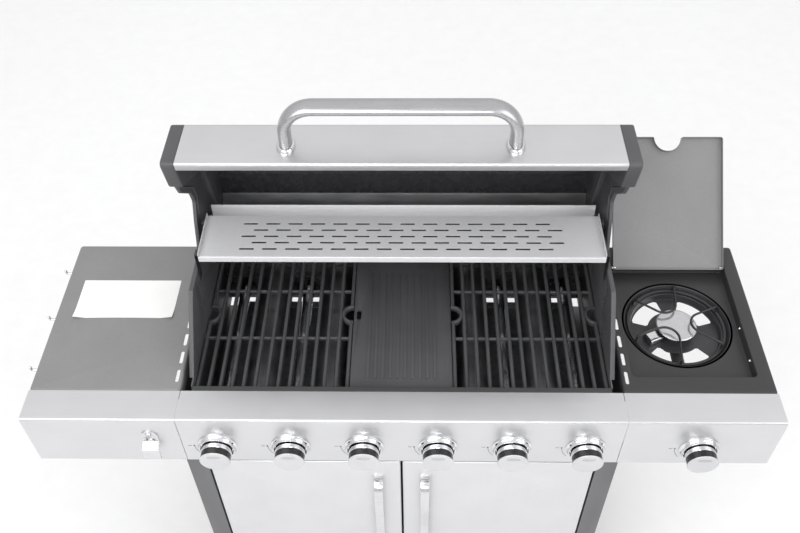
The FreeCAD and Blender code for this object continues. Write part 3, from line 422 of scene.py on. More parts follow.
def folded_sheet(line: Points, thickness: float, x0: float, x1: float, slot: int = 0) -> Skin:
    """Sheet whose section follows a line in the side plane, with its thickness to the line's right.

    Args:
        line: rounded line of (y, z) points.
        thickness: sheet thickness.
        x0: left end.
        x1: right end.
        slot: material slot.

    Returns:
        A closed skin.
    """
    inner = inset(line, -thickness, closed=False)
    ring = np.vstack([line, inner[::-1]])
    skin = Skin()
    ends = np.stack([Plane.SIDE.lay(ring, x) for x in (x0, x1)])
    skin.patch(ends, wrap_v=True, slot=slot)
    for x in (x0, x1):
        skin.patch(np.stack([Plane.SIDE.lay(line, x), Plane.SIDE.lay(inner, x)]), slot=slot)
    return skin


def apply_modifiers(obj: bpy.types.Object) -> None:
    """Replaces an object's mesh by what its modifiers make of it."""
    graph = bpy.context.evaluated_depsgraph_get()
    made = bpy.data.meshes.new_from_object(obj.evaluated_get(graph))
    obj.modifiers.clear()
    obj.data = made


def set_down(obj: bpy.types.Object, body: str, nodes: tuple, sharp: float) -> bpy.types.Object:
    """Shades a piece and body, and hides the nodes it stands for.

    Args:
        obj: the piece.
        body: body that it rides on.
        nodes: nodes that it replaces.
        sharp: angle in degrees above which an edge stays sharp.

    Returns:
        The piece.
    """
    mesh = obj.data
    mesh.polygons.foreach_set("use_smooth", np.ones(len(mesh.polygons), bool))
    mesh.set_sharp_from_angle(angle=math.radians(sharp))
    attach(obj, body)
    if nodes:
        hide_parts(*nodes)
    LOG.info("%s on %s: %d faces", obj.name, body, len(mesh.polygons))
    return obj


@dataclass
class Piece:
    """How a skin becomes an object."""
    name: str
    slot: str
    finishes: tuple
    body: str = "grill"
    nodes: tuple = ()
    wall: float = 0.0
    facing: tuple | None = None
    bevel: float = 0.0
    sharp: float = SHARP

    def build(self, skin: Skin) -> bpy.types.Object:
        """Welds the skin's seams, turns its faces outwards, gives it a wall and rounds its edges.

        Args:
            skin: the patches.

        Returns:
            The finished object.
        """
        mesh = bpy.data.meshes.new(self.name)
        mesh.from_pydata(DATUM.metres(np.vstack(skin.points)), [], skin.faces)
        for finish in self.finishes:
            mesh.materials.append(finish.material())
        mesh.polygons.foreach_set("material_index", np.array(skin.slots, np.int32))
        work = bmesh.new()
        work.from_mesh(mesh)
        bmesh.ops.remove_doubles(work, verts=work.verts, dist=WELD)
        bmesh.ops.dissolve_degenerate(work, edges=work.edges, dist=1e-6)
        bmesh.ops.recalc_face_normals(work, faces=work.faces)
        if self.facing is not None:
            way = Vector(self.facing)
            if sum(face.normal.dot(way) * face.calc_area() for face in work.faces) < 0:
                bmesh.ops.reverse_faces(work, faces=work.faces)
        work.to_mesh(mesh)
        work.free()
        obj = bpy.data.objects.new(self.name, mesh)
        bpy.context.scene.collection.objects.link(obj)
        if self.wall:
            solid = obj.modifiers.new("wall", "SOLIDIFY")
            solid.thickness, solid.offset = self.wall / MM, -1.0
        if self.bevel:
            add_bevel(obj, self.bevel)
        if obj.modifiers:
            apply_modifiers(obj)
        return set_down(obj, self.body, self.nodes, self.sharp)


def add_bevel(obj: bpy.types.Object, width: float, angle: float = 32.0) -> None:
    """Adds a rounding of every edge sharper than an angle; width in millimetres."""
    bevel = obj.modifiers.new("edges", "BEVEL")
    bevel.width, bevel.segments = width / MM, 2
    bevel.limit_method, bevel.angle_limit = "ANGLE", math.radians(angle)
    bevel.harden_normals = False


def soften(node: str, finish: "Finish", width: float, below: "Finish | None" = None,
           level: float = 0.0) -> bpy.types.Object:
    """Copy of a CAD node with its loose triangles merged, flat areas joined and edges rounded.

    Args:
        node: the CAD node.
        finish: its finish.
        width: rounding of the edges in millimetres.
        below: a second finish for what lies under a level.
        level: that level, in millimetres.

    Returns:
        The piece that replaces the node.
    """
    mesh = frame["nodes"][node].data.copy()
    mesh.name = node + "_part"
    work = bmesh.new()
    work.from_mesh(mesh)
    bmesh.ops.remove_doubles(work, verts=work.verts, dist=CAD_WELD)
    bmesh.ops.dissolve_limit(work, angle_limit=math.radians(0.5), verts=work.verts, edges=work.edges)
    if below is not None:
        everything = list(work.verts) + list(work.edges) + list(work.faces)
        bmesh.ops.bisect_plane(work, geom=everything, plane_co=(0, 0, level / MM), plane_no=(0, 0, 1))
    for face in work.faces:
        face.material_index = int(below is not None and face.calc_center_median().z < level / MM)
    mesh.materials.clear()
    for used in (finish, below):
        if used is not None:
            mesh.materials.append(used.material())
    work.to_mesh(mesh)
    work.free()
    obj = bpy.data.objects.new(node + "_part", mesh)
    bpy.context.scene.collection.objects.link(obj)
    add_bevel(obj, width)
    apply_modifiers(obj)
    return set_down(obj, BODY_OF[node], (node,), SHARP)


# ---------------------------------------------------------------- finishes
def linear(shade: str) -> tuple[float, float, float, float]:
    """sRGB hex colour as linear values with alpha 1."""
    parts = [int(shade[i:i + 2], 16) / 255 for i in (1, 3, 5)]
    return tuple(c / 12.92 if c <= 0.04045 else ((c + 0.055) / 1.055) ** 2.4 for c in parts) + (1.0,)


def add_node(tree: bpy.types.NodeTree, kind: str, settings: dict, links: dict) -> bpy.types.Node:
    """Adds a shader node.

    Args:
        tree: the node tree.
        kind: node type, without its ShaderNode prefix.
        settings: values by socket name, or by property name.
        links: output sockets by the name of the input they feed.

    Returns:
        The node.
    """
    node = tree.nodes.new("ShaderNode" + kind)
    for key, value in settings.items():
        if isinstance(key, int) or key in node.inputs:
            node.inputs[key].default_value = value
        else:
            setattr(node, key, value)
    for key, source in links.items():
        tree.links.new(source, node.inputs[key])
    return node


@dataclass(frozen=True)
class Finish:
    """A real surface finish. Grain sizes are millimetres along X, Y and Z."""
    name: str
    shade: str
    shade_low: str
    metallic: float
    roughness: tuple[float, float]
    grain: tuple[float, float, float]
    relief: float = 0.0
    relief_grain: tuple[float, float, float] = (1.0, 1.0, 1.0)
    coat: float = 0.0
    cloud: float = 90.0
    made: dict = field(default_factory=dict, compare=False)

    def noise(self, tree: bpy.types.NodeTree, place: bpy.types.NodeSocket,
              grain: tuple[float, float, float], detail: float) -> bpy.types.NodeSocket:
        """Noise whose cells have a real size.

        Args:
            tree: the node tree.
            place: object coordinates.
            grain: cell size along each axis in millimetres.
            detail: octaves of finer detail.

        Returns:
            The noise value's socket.
        """
        scaled = add_node(tree, "Mapping", {"Scale": tuple(MM / g for g in grain)}, {"Vector": place})
        made = add_node(tree, "TexNoise", {"Scale": 1.0, "Detail": detail, "Roughness": 0.55},
                        {"Vector": scaled.outputs["Vector"]})
        return made.outputs["Fac"]

    def material(self) -> bpy.types.Material:
        """Builds the material once, and gives the same one each time after.

        Returns:
            The material: two shades mixed by the grain and by soft clouds, roughness that follows
            the grain, and a fine relief.
        """
        if "material" in self.made:
            return self.made["material"]
        material = bpy.data.materials.new(self.name)
        material.use_nodes = True
        tree = material.node_tree
        shader = tree.nodes["Principled BSDF"]
        place = add_node(tree, "TexCoord", {}, {}).outputs["Object"]
        fine = self.noise(tree, place, self.grain, 3.0)
        clouds = self.noise(tree, place, (self.cloud,) * 3, 2.0)
        mixed = add_node(tree, "Math", {"operation": "MULTIPLY_ADD", 1: 0.5}, {0: fine})
        tree.links.new(add_node(tree, "Math", {"operation": "MULTIPLY", 1: 0.5}, {0: clouds}).outputs[0],
                       mixed.inputs[2])
        ramp = add_node(tree, "ValToRGB", {}, {"Fac": mixed.outputs[0]})
        ramp.color_ramp.elements[0].position, ramp.color_ramp.elements[1].position = 0.35, 0.65
        ramp.color_ramp.elements[0].color = linear(self.shade_low)
        ramp.color_ramp.elements[1].color = linear(self.shade)
        tree.links.new(ramp.outputs["Color"], shader.inputs["Base Color"])
        rough = add_node(tree, "MapRange", {"From Min": 0.3, "From Max": 0.7, "To Min": self.roughness[0],
                                            "To Max": self.roughness[1]}, {"Value": fine})
        tree.links.new(rough.outputs["Result"], shader.inputs["Roughness"])
        shader.inputs["Metallic"].default_value = self.metallic
        if self.coat:
            shader.inputs["Coat Weight"].default_value = self.coat
            shader.inputs["Coat Roughness"].default_value = 0.12
        if self.relief:
            height = self.noise(tree, place, self.relief_grain, 2.0)
            bump = add_node(tree, "Bump", {"Strength": 1.0, "Distance": self.relief / MM}, {"Height": height})
            tree.links.new(bump.outputs["Normal"], shader.inputs["Normal"])
        self.made["material"] = material
        return material


# Brushed AISI 430 sheet: fine straight scratches along X blur reflections into soft upright
# streaks. Real scratches are about 0.1 mm apart; they are drawn 1.6 mm apart to show.
BRUSHED = Finish("brushed_stainless", "#D8D8DA", "#D2D2D4", 1.0, (0.36, 0.46), (240, 1.6, 1.6),
                 0.006, (300, 1.2, 1.2))
# The same sheet brushed upright, on the doors.
BRUSHED_UPRIGHT = Finish("brushed_stainless_upright", "#DEDEE0", "#D8D8DA", 1.0, (0.42, 0.50),
                         (1.6, 1.6, 240), 0.004, (1.2, 1.2, 300))
# Bead-blasted stainless of the rear wall's upper part: scatters more than it mirrors. Its near-white colour
# is partly painted light, lightened to stand in for the brightness the strip shows in the hood's shade.
BLASTED_LIT = Finish("blasted_stainless_painted_light", "#FAFAFB", "#F5F5F7", 0.1, (0.46, 0.56), (5, 5, 5),
                 0.01, (1.4, 1.4, 1.4))
# The same blasting on thicker sheet, duller, on the warming rack.
RACK_STEEL = Finish("rack_stainless", "#D4D4D6", "#CECED0", 0.25, (0.46, 0.56), (5, 5, 5),
                    0.01, (1.4, 1.4, 1.4))
# Lighter metallic copy of the liner on its last run: a painted reflection of the bright rack and rear wall.
LINER_SHEEN = Finish("liner_painted_reflection", "#B8B8BA", "#ACACAE", 1.0, (0.30, 0.42), (60, 20, 20),
                0.01, (60, 3, 3))
# Stainless dulled by heat, on the deflectors over the burners.
HEATED = Finish("heated_stainless", "#A4A4A6", "#8E8E90", 1.0, (0.28, 0.40), (60, 40, 40),
                0.01, (60, 3, 3))
# Satin stainless tube of the hood's handle.
SATIN = Finish("satin_stainless", "#BABABC", "#B2B2B4", 1.0, (0.24, 0.34), (60, 2, 2),
               0.004, (60, 1.6, 1.6))
# Polished stainless tube and bar: clear reflections with faint polishing marks.
POLISHED = Finish("polished_stainless", "#DEDEE0", "#CCCCCE", 1.0, (0.12, 0.22), (60, 2, 2),
                  0.004, (40, 2, 2))
# Chrome-plated zinc of the bezels and knob rings: sharp, slightly dark mirror.
CHROME = Finish("chrome_plate", "#E4E4E6", "#D6D6D9", 1.0, (0.05, 0.10), (30, 30, 30))
# Satin powder coat on the left shelf and the side burner's lid: the right shelf's paint, made mid grey as a
# painted reflection of the white surroundings.
POWDER_COAT_LIT = Finish("powder_coat_painted_reflection", "#858586", "#7F7F80", 0.0, (0.42, 0.52), (6, 6, 6),
                  0.02, (1.6, 1.6, 1.6))
# Satin powder coat, dark grey, on the right shelf.
DARK_GREY = Finish("powder_coat_dark_grey", "#343435", "#303031", 0.0, (0.38, 0.48), (6, 6, 6),
                   0.02, (1.6, 1.6, 1.6))
# Powder coat on the cabinet's tubes and panels.
FRAME_GREY = Finish("powder_coat_frame", "#646466", "#5E5E60", 0.0, (0.40, 0.50), (6, 6, 6),
                    0.02, (1.6, 1.6, 1.6))
# Die-cast aluminium under heat-proof paint: a faint sand-cast texture.
CAST_PAINT = Finish("painted_cast_aluminium", "#505052", "#48484A", 0.0, (0.42, 0.58), (3, 3, 3),
                    0.05, (1.4, 1.4, 1.4))
# Enamelled inner skin of the hood: dark and a little glossy. The same finish on the rear wall's lower part is
# painted shade.
LINER_AND_SHADE = Finish("dark_enamel_and_painted_shade", "#3C3C3E", "#363638", 0.0, (0.22, 0.32), (20, 20, 20), 0.01, (6, 6, 6), 0.7)
# Matt vitreous enamel on cast iron: pebbled by the casting beneath.
CAST_IRON = Finish("cast_iron_enamel", "#4A4A4C", "#3F3F41", 0.0, (0.45, 0.62), (2.5, 2.5, 2.5),
                   0.08, (1.3, 1.3, 1.3))
# Gloss enamel on the side burner's cap.
CAP_ENAMEL = Finish("gloss_cap_enamel", "#CCCCCE", "#C0C0C2", 0.6, (0.12, 0.2), (8, 8, 8), 0.01, (4, 4, 4))
# Galvanised steel: grey spangle.
ZINC = Finish("galvanised_steel", "#B4B6B8", "#8E9092", 1.0, (0.32, 0.5), (9, 9, 9), 0.01, (9, 9, 9))
# Brass valves, as cast and turned.
BRASS = Finish("cast_brass", "#C0A060", "#A88848", 1.0, (0.28, 0.42), (4, 4, 4), 0.02, (1.5, 1.5, 1.5))
# Glazed ceramic of the igniters.
CERAMIC = Finish("glazed_ceramic", "#ECE8E0", "#E0DCD2", 0.0, (0.12, 0.2), (10, 10, 10))
# Gloss black phenolic grip of the knobs.
BLACK_PLASTIC = Finish("phenolic_black", "#161617", "#121213", 0.0, (0.22, 0.32), (5, 5, 5), 0.005, (2, 2, 2))
# Bright satin face of the knobs.
BRIGHT_FACE = Finish("satin_nickel", "#CDCDCF", "#C6C6C8", 0.45, (0.34, 0.44), (12, 12, 12))
# Grey mark on the knobs.
GREY_PRINT = Finish("grey_print", "#B4B4B6", "#AAAAAC", 0.0, (0.45, 0.55), (4, 4, 4))
# Black print on the panel.
BLACK_PRINT = Finish("black_print", "#1C1C1E", "#18181A", 0.0, (0.45, 0.55), (4, 4, 4))
# Tyre rubber: matt, dusty in patches.
RUBBER = Finish("tyre_rubber", "#262627", "#1E1E1F", 0.0, (0.68, 0.85), (5, 5, 5), 0.04, (1.5, 1.5, 1.5))
# Grey nylon wheel centre.
NYLON = Finish("nylon_grey", "#77787A", "#6F7072", 0.0, (0.4, 0.5), (8, 8, 8), 0.01, (2, 2, 2))
# Blank paper sticker.
PAPER = Finish("paper_label", "#F6F6F4", "#EFEFED", 0.0, (0.55, 0.65), (3, 3, 3), 0.01, (1.5, 1.5, 1.5))
# Dark enamel of the side burner's bowl.
BOWL_ENAMEL = Finish("bowl_enamel", "#3A3A3C", "#323234", 0.0, (0.3, 0.42), (10, 10, 10), 0.02, (3, 3, 3))
# Black enamelled wire.
TRIVET_ENAMEL = Finish("wire_enamel", "#2C2C2E", "#262628", 0.0, (0.28, 0.4), (6, 6, 6), 0.01, (2, 2, 2))


# ---------------------------------------------------------------- hood
@dataclass
class Hood:
    """Open hood: stainless skin, enamelled liner, cast end caps and an oval tube handle. It is
    built closed and turned open about its pivots."""
    hinge: tuple = (347.0, 908.0)
    open_angle: float = 75.0
    skin_t: float = 1.2
    inner_x: float = 422.5
    outer_x: float = 450.0
    arm_x: tuple = (433.0, 441.0)
    lip: float = 20.0
    liner_drop: float = 24.0
    # Level below which the liner takes the lighter finish: painted reflection.
    sheen_z: float = 966.0
    handle_half: float = 217.0
    handle_up: float = 52.0
    handle_out: float = 92.0
    handle_bend: float = 56.0
    handle_axes: tuple = (12.5, 21.0)
    outer: tuple = ((-46, 896), (-15.5, 1010), (107, 1096), (165, 1118), (230, 1126), (290, 1120),
                    (345, 1096), (385, 1056), (404, 1022))
    rim: tuple = ((150.7, 1022), (140, 1011), (32.2, 896))

    def opened(self, skin: Skin) -> Skin:
        """The skin turned from closed to open."""
        return skin.turned(*self.hinge, -self.open_angle)

    def face_point(self, across: float, up: float, out: float) -> np.ndarray:
        """Point from the front face's lower edge: across in X, up the face, out from it."""
        (y0, z0), (y1, z1) = self.outer[:2]
        lean = math.atan2(y1 - y0, z1 - z0)
        return np.array([across, y0 + up * math.sin(lean) - out * math.cos(lean),
                         z0 + up * math.cos(lean) + out * math.sin(lean)])

    def panel(self) -> None:
        """Outer skin with rounded folds and a lip turned in along its front edge."""
        line = fold([(self.outer[0][0] + self.lip, self.outer[0][1])] + list(self.outer),
                    [5, 16, 70, 60, 60, 60, 50, 40])
        skin = folded_sheet(line, self.skin_t, -self.inner_x, self.inner_x)
        Piece("hood_panel", "stainless_panel", (BRUSHED,), "lid", ("lid_panel",)).build(self.opened(skin))

    def liner(self) -> None:
        """Inner skin, an even distance inside the panel. Below a level its last run takes a lighter metallic
        copy of the finish, a painted reflection.
        """
        line = inset(np.array(self.outer, float), -self.liner_drop, closed=False)
        start = (self.outer[0][0] + self.lip - self.skin_t, self.outer[0][1] + self.skin_t + 0.9)
        points = [start] + [tuple(p) for p in line[1:-1]]
        skin = folded_sheet(fold(points, [6, 8, 8, 8, 8, 8]), self.skin_t,
                            -self.inner_x + 0.3, self.inner_x - 0.3)
        self.opened(skin)
        places = np.vstack(skin.points)
        # Faces below the level get slot 1, the lighter finish that paints in a reflection.
        skin.slots = [int(places[face, 2].mean() < self.sheen_z) for face in skin.faces]
        Piece("hood_liner", "stainless_panel", (LINER_AND_SHADE, LINER_SHEEN), "lid", ("lid_liner",)).build(skin)

    def caps(self) -> None:
        """Cast end caps: a block with rounded edges, and a skirt with a bead that runs to the pivot."""
        block = fold_loop(list(self.outer) + list(self.rim),
                          [9, 14, 60, 50, 50, 50, 40, 30, 8, 6, 12, 14])[::-1]
        y, z = self.hinge
        skirt = fold_loop([(20, 896), (134, 1013), (150.7, 1026), (y + 49, 1026), (y + 45, 950),
                           (y + 32, z - 18), (y + 14, z - 32), (y - 14, z - 34), (y - 91, 870),
                           (y - 109, 888), (199, 916), (165, 947), (132, 945), (66, 904)],
                          [3, 4, 4, 4, 30, 12, 12, 20, 8, 8, 20, 14, 14, 20])[::-1]
        bead = fold([(-24, 901), (38, 901), (78, 926), (130, 960), (168, 962), (208, 930)], [10, 14, 16, 12])
        for side in Side:
            skin = Skin()
            skin.slab(block, Plane.SIDE, self.inner_x, self.outer_x, 3.0)
            skin.slab(skirt, Plane.SIDE, *self.arm_x, 2.0)
            skin.sweep(circle(0, 0, 2.2, 10), Plane.SIDE.lay(bead, self.arm_x[0]), (1, 0, 0))
            Piece(f"hood_cap_{side.value}", "cast_aluminium_dark", (CAST_PAINT,), "lid",
                  (f"lid_casting_{side.value}",)).build(self.opened(skin.on(side)))

    def handle(self) -> None:
        """Oval tube bent into a bridge, and the oval collar at each foot."""
        half, out = self.handle_half, self.handle_out
        corners = [self.face_point(x, self.handle_up, d) for x, d in
                   ((-half, 0.5), (-half, out), (half, out), (half, 0.5))]
        up = self.face_point(0, 1, 0) - self.face_point(0, 0, 0)
        oval = circle(0, 0, 1, 40) * self.handle_axes
        skin = Skin().sweep(oval, fold(corners, self.handle_bend, 20), up)
        Piece("hood_handle", "polished_stainless", (SATIN,), "lid", ("lid_handle",)).build(self.opened(skin))
        collars = Skin()
        away = self.face_point(0, 0, 1) - self.face_point(0, 0, 0)
        steps = ((6.0, 0.2), (6.0, 3.0), (5.2, 6.5), (3.6, 9.0), (2.0, 10.0), (0.4, 10.0), (0.4, 0.2))
        for s in (-1, 1):
            foot = self.face_point(s * half, self.handle_up, 0)
            rings = []
            for grow, rise in steps:
                ring = circle(0, 0, 1, 48) * (np.array(self.handle_axes) + grow)
                rings.append(foot + ring[:, :1] * [1, 0, 0] + ring[:, 1:] * up + rise * away)
            collars.patch(np.stack(rings), wrap_u=True, wrap_v=True)
        Piece("handle_collars", "polished_stainless", (CHROME,), "lid",
              ("handle_bezels",)).build(self.opened(collars))

    def build(self) -> None:
        """Builds the hood's pieces."""
        self.panel()
        self.liner()
        self.caps()
        self.handle()


# ---------------------------------------------------------------- firebox and cooking surfaces
@dataclass
class Firebox:
    """Arched heat deflectors over the burners and the warming rack. The walls, burners and brackets
    are softened CAD nodes."""
    pitch: float = 148.7
    radius: float = 52.0
    half: float = 42.0
    seat: float = 814.0
    sheet: float = 1.2
    ends: tuple = (14.0, 391.0)
    # Level below which the rear wall is painted dark: painted shade under the rack and the hood.
    painted_shade_top: float = 996.0
    rack_half: float = 412.0
    rack_y: tuple = (207.0, 327.0)
    rack_top: float = 1062.0
    slot_count: tuple = (14, 5)
    slot_pitch: tuple = (824.0 / 17.57, 18.2)
    slot_size: tuple = (31.0, 5.5)

    def deflectors(self) -> None:
        """Five arched sheets: a circular arc of the given radius carried from front to rear."""
        drop = math.sqrt(self.radius ** 2 - self.half ** 2)
        reach = math.asin(self.half / self.radius)
        a = np.linspace(-reach, reach, 25)
        skin = Skin()
        for i in range(-2, 3):
            rings = []
            for r in (self.radius, self.radius - self.sheet):
                arc = np.stack([i * self.pitch + r * np.sin(a), self.seat - drop + r * np.cos(a)], axis=1)
                rings.append(arc)
            loop = np.vstack([rings[0], rings[1][::-1]])
            skin.patch(np.stack([Plane.FACE.lay(loop, y) for y in self.ends]), wrap_v=True)
            for y in self.ends:
                skin.patch(np.stack([Plane.FACE.lay(ring, y) for ring in rings]))
        Piece("arched_deflectors", "polished_stainless", (HEATED,), nodes=("heat_deflectors",)).build(skin)

    def rack(self) -> None:
        """Warming rack: deck with staggered slots, front edge folded down and ends folded up."""
        half, z, t = self.rack_half, self.rack_top, self.sheet
        y0, y1 = self.rack_y
        (count, rows), (pitch, row_pitch) = self.slot_count, self.slot_pitch
        holes = []
        for row in range(rows):
            y = (y0 + y1) / 2 + (row - (rows - 1) / 2) * row_pitch
            first = (0.25 if row % 2 else -0.25) * pitch - (count - 1) / 2 * pitch
            holes += [slot_outline(first + i * pitch, y, *self.slot_size, False) for i in range(count)]
        edge = rectangle(-half + t, half - t, y0 + 2, y1, 0.6, 2)
        skin = Skin()
        for level in (z, z - t):
            skin.filled(edge, holes, Plane.FLAT, level)
        for loop in [edge] + holes:
            skin.stack([(loop, z - t), (loop, z)], Plane.FLAT, (False, False))
        skin.join(folded_sheet(fold([(y0, z - 14), (y0, z), (y0 + 2, z)], 1.9, 4), t, -half, half))
        for s in (-1, 1):
            ear = rectangle(y0, y1, z - t, z + 9, 0.6, 2)
            skin.slab(ear, Plane.SIDE, min(s * half, s * (half - t)), max(s * half, s * (half - t)), 0.3)
        Piece("slotted_rack", "stainless_panel", (RACK_STEEL,), nodes=("warming_rack",)).build(skin)

    def build(self) -> None:
        """Builds the deflectors and rack and softens the walls, burners and brackets."""
        self.deflectors()
        self.rack()
        for node, finish, slot, width in (
                ("firebox_side_left", CAST_PAINT, "cast_aluminium_dark", 0.9),
                ("firebox_side_right", CAST_PAINT, "cast_aluminium_dark", 0.9),
                ("firebox_front", DARK_GREY, "stainless_panel", 0.3),
                ("burner_tubes", POLISHED, "polished_stainless", 0.3),
                ("rack_brackets", DARK_GREY, "polished_stainless", 0.3),
                ("igniters", CERAMIC, "ceramic", 0.4)):
            soften(node, finish, width)
        # Rear wall: near-white above the level, partly painted light; the dark liner finish below it is
        # painted shade, standing in for the shade under the rack and the hood.
        soften("firebox_rear", BLASTED_LIT, 0.3, LINER_AND_SHADE, self.painted_shade_top)


@dataclass
class Grates:
    """Cast grates on both sides of the griddle: round-topped bars on two lower cross bars."""
    top: float = 878.0
    depth: float = 14.0
    bar: float = 8.0
    bars: int = 14
    front: float = 16.0
    rear: float = 386.0
    cross: tuple = (150.0, 282.0)
    grip: tuple = (213.0, 18.0, 26.0)

    def section(self, width: float, depth: float) -> Points:
        """Cast bar's section: flat sides that draw in towards the foot, and a rounded top."""
        w, d = width / 2, depth
        return fold_loop([(-w * 0.7, -d), (w * 0.7, -d), (w, -d * 0.25), (w * 0.62, 0), (-w * 0.62, 0),
                          (-w, -d * 0.25)], [0.8, 0.8, 1.2, 1.4, 1.4, 1.2], 3)

    def grate(self, x0: float, x1: float) -> Skin:
        """One grate.

        Args:
            x0: left edge.
            x1: right edge.

        Returns:
            Its bars, cross bars, end bars and the rings of the finger cut-outs.
        """
        skin = Skin()
        bar = self.section(self.bar, self.depth)
        up = (0, 0, 1)
        grip_y, grip_in, grip_out = self.grip
        gaps = [(self.front, grip_y - grip_in - 4), (grip_y + grip_in + 4, self.rear)]
        for i, x in enumerate(np.linspace(x0 + self.bar / 2, x1 - self.bar / 2, self.bars)):
            for a, b in gaps if i in (0, self.bars - 1) else [(self.front, self.rear)]:
                skin.sweep(bar, np.array([(x, y, self.top) for y in (a, (a + b) / 2, b)]), up)
        low = self.section(self.bar, self.depth - 3)
        for y in (self.front + self.bar / 2, self.rear - self.bar / 2):
            skin.sweep(low, np.array([(x, y, self.top - 3) for x in (x0, (x0 + x1) / 2, x1)]), up)
        thin = self.section(6, self.depth - 5)
        for y in self.cross:
            skin.sweep(thin, np.array([(x, y, self.top - 4) for x in (x0, (x0 + x1) / 2, x1)]), up)
        middle = (grip_in + grip_out) / 2
        for x, s in ((x0, 1), (x1, -1)):
            a = np.linspace(-math.pi / 2, math.pi / 2, 25)
            ring = np.stack([x + s * middle * np.cos(a), grip_y + middle * np.sin(a),
                             np.full(25, self.top)], axis=1)
            skin.sweep(bar, ring, up)
        return skin

    def build(self) -> None:
        """Builds both grates and softens the griddle."""
        for side, x0, x1 in (("left", -419.5, -106.0), ("right", 106.0, 419.5)):
            Piece(f"cast_grate_{side}", "cast_iron_enamel", (CAST_IRON,),
                  nodes=(f"cooking_grate_{side}",)).build(self.grate(x0, x1))
        soften("griddle_plate", CAST_IRON, 0.9)


# ---------------------------------------------------------------- control panel
@dataclass
class ControlPanel:
    """Folded stainless panel in three lengths, with bezels, knobs and small printed marks."""
    depth: float = 70.0
    height: float = 150.0
    sheet: float = 1.2
    seam: float = 442.5
    shelf_x: float = 443.5
    half: float = 750.0
    knob_z: float = 799.0
    knob_xs: tuple = (-371.75, -223.05, -74.35, 74.35, 223.05, 371.75)
    side_x: float = 598.5
    knob_r: float = 31.0
    stand: float = 8.0
    mark_r: float = 48.0

    def length(self, x0: float, x1: float) -> Skin:
        """One length of panel: top face, front face and the return below, with rounded folds."""
        low = TOP - self.height
        line = fold([(0, TOP), (-self.depth, TOP), (-self.depth, low), (-42, low)], [5, 4])
        return folded_sheet(line[::-1], self.sheet, x0, x1)

    def panels(self) -> None:
        """The three lengths; the outer two have a flat end."""
        Piece("panel_middle", "stainless_panel", (BRUSHED,), nodes=("fascia_main",)).build(
            self.length(-self.seam, self.seam))
        low = TOP - self.height + self.sheet
        end = fold_loop([(-self.depth + self.sheet, low), (0, low), (0, TOP - self.sheet),
                         (-self.depth + self.sheet, TOP - self.sheet)], [3, 1, 1, 4])
        for side in Side:
            skin = self.length(self.shelf_x, self.half)
            skin.slab(end, Plane.SIDE, self.half - self.sheet - 0.3, self.half - 0.3, 0.4)
            Piece(f"panel_{side.value}", "stainless_panel", (BRUSHED,),
                  nodes=(f"fascia_{side.value}",)).build(skin.on(side))

    def bezels(self) -> None:
        """Flared chrome rings round the knobs."""
        profile = fold([(7, 0.1), (40.4, 0.1), (40.4, 2.6), (38.4, 4.2), (36.6, 7), (35.8, 11), (34.2, 11),
                        (33.2, 3.6), (7, 3.6)], [0.3, 1.2, 1, 3, 0.6, 0.6, 1.5], 4)
        skin = Skin()
        for x in self.knob_xs + (self.side_x,):
            skin.lathe(np.vstack([profile, profile[:1]]), (x, -self.depth, self.knob_z), Axis.FRONT)
        Piece("chrome_bezels", "chrome_trim", (CHROME,), nodes=("knob_bezels",)).build(skin)

    def knob(self, name: str, x: float) -> None:
        """One knob: chrome base ring, waisted black grip, bright domed face with a printed mark.

        Args:
            name: name of its node.
            x: its place across the panel.
        """
        r = self.knob_r
        back = (x, -self.depth - self.stand, self.knob_z)
        skin = Skin()
        base = fold([(0, 0), (r, 0), (r, 13), (r - 0.8, 13.6)], [0.8, 0.4], 3)
        grip = fold([(r - 0.8, 13.6), (r - 1, 14), (r - 1, 27.2), (r - 0.4, 27.8)], [0.2, 0.3], 3)
        face = fold([(r - 0.4, 27.8), (r, 28.2), (r - 0.6, 30), (r - 4, 30.7), (0, 31)], [0.3, 0.8, 3], 4)
        for slot, profile in enumerate((base, grip, face)):
            skin.lathe(profile, back, Axis.FRONT, slot)
        lens = circle(0, 0, 1, 24) * [14, 4] + [x, self.knob_z + 17]
        y = back[1] - 31
        skin.slab(lens, Plane.FACE, y - 0.6, y + 2, 0.2, 3)
        stem = [(0, -22), (4, -22), (4, 2), (0, 2)]
        skin.lathe(stem, back, Axis.FRONT, 0, 24)
        Piece(f"{name}_turned", "knob_plastic", (CHROME, BLACK_PLASTIC, BRIGHT_FACE, GREY_PRINT),
              BODY_OF[name], (name,)).build(skin)

    def marks(self) -> None:
        """A printed dot, a dash and a thin arc to the left of each bezel."""
        skin = Skin()
        levels = (-self.depth - 0.25, -self.depth - 0.02)
        a = np.radians(np.linspace(183, 222, 12))[:, None]
        way = np.hstack([np.cos(a), np.sin(a)])
        arc = np.vstack([way * (self.mark_r - 0.1), way[::-1] * (self.mark_r - 0.9)])
        dot = circle(-self.mark_r, -1, 1.8, 20)
        dash = rectangle(-self.mark_r - 12, -self.mark_r - 5, -1.3, -0.3, 0.45, 3)
        for x in self.knob_xs + (self.side_x,):
            for mark in (dot, dash, arc):
                skin.slab(mark + [x, self.knob_z], Plane.FACE, *levels, 0.05)
        Piece("panel_marks", "knob_plastic", (BLACK_PRINT,)).build(skin)

    def build(self) -> None:
        """Builds the panel, bezels, knobs and marks."""
        self.panels()
        self.bezels()
        for number, x in enumerate(self.knob_xs, 1):
            self.knob(f"knob_{number}", x)
        self.knob("knob_side", self.side_x)
        self.marks()


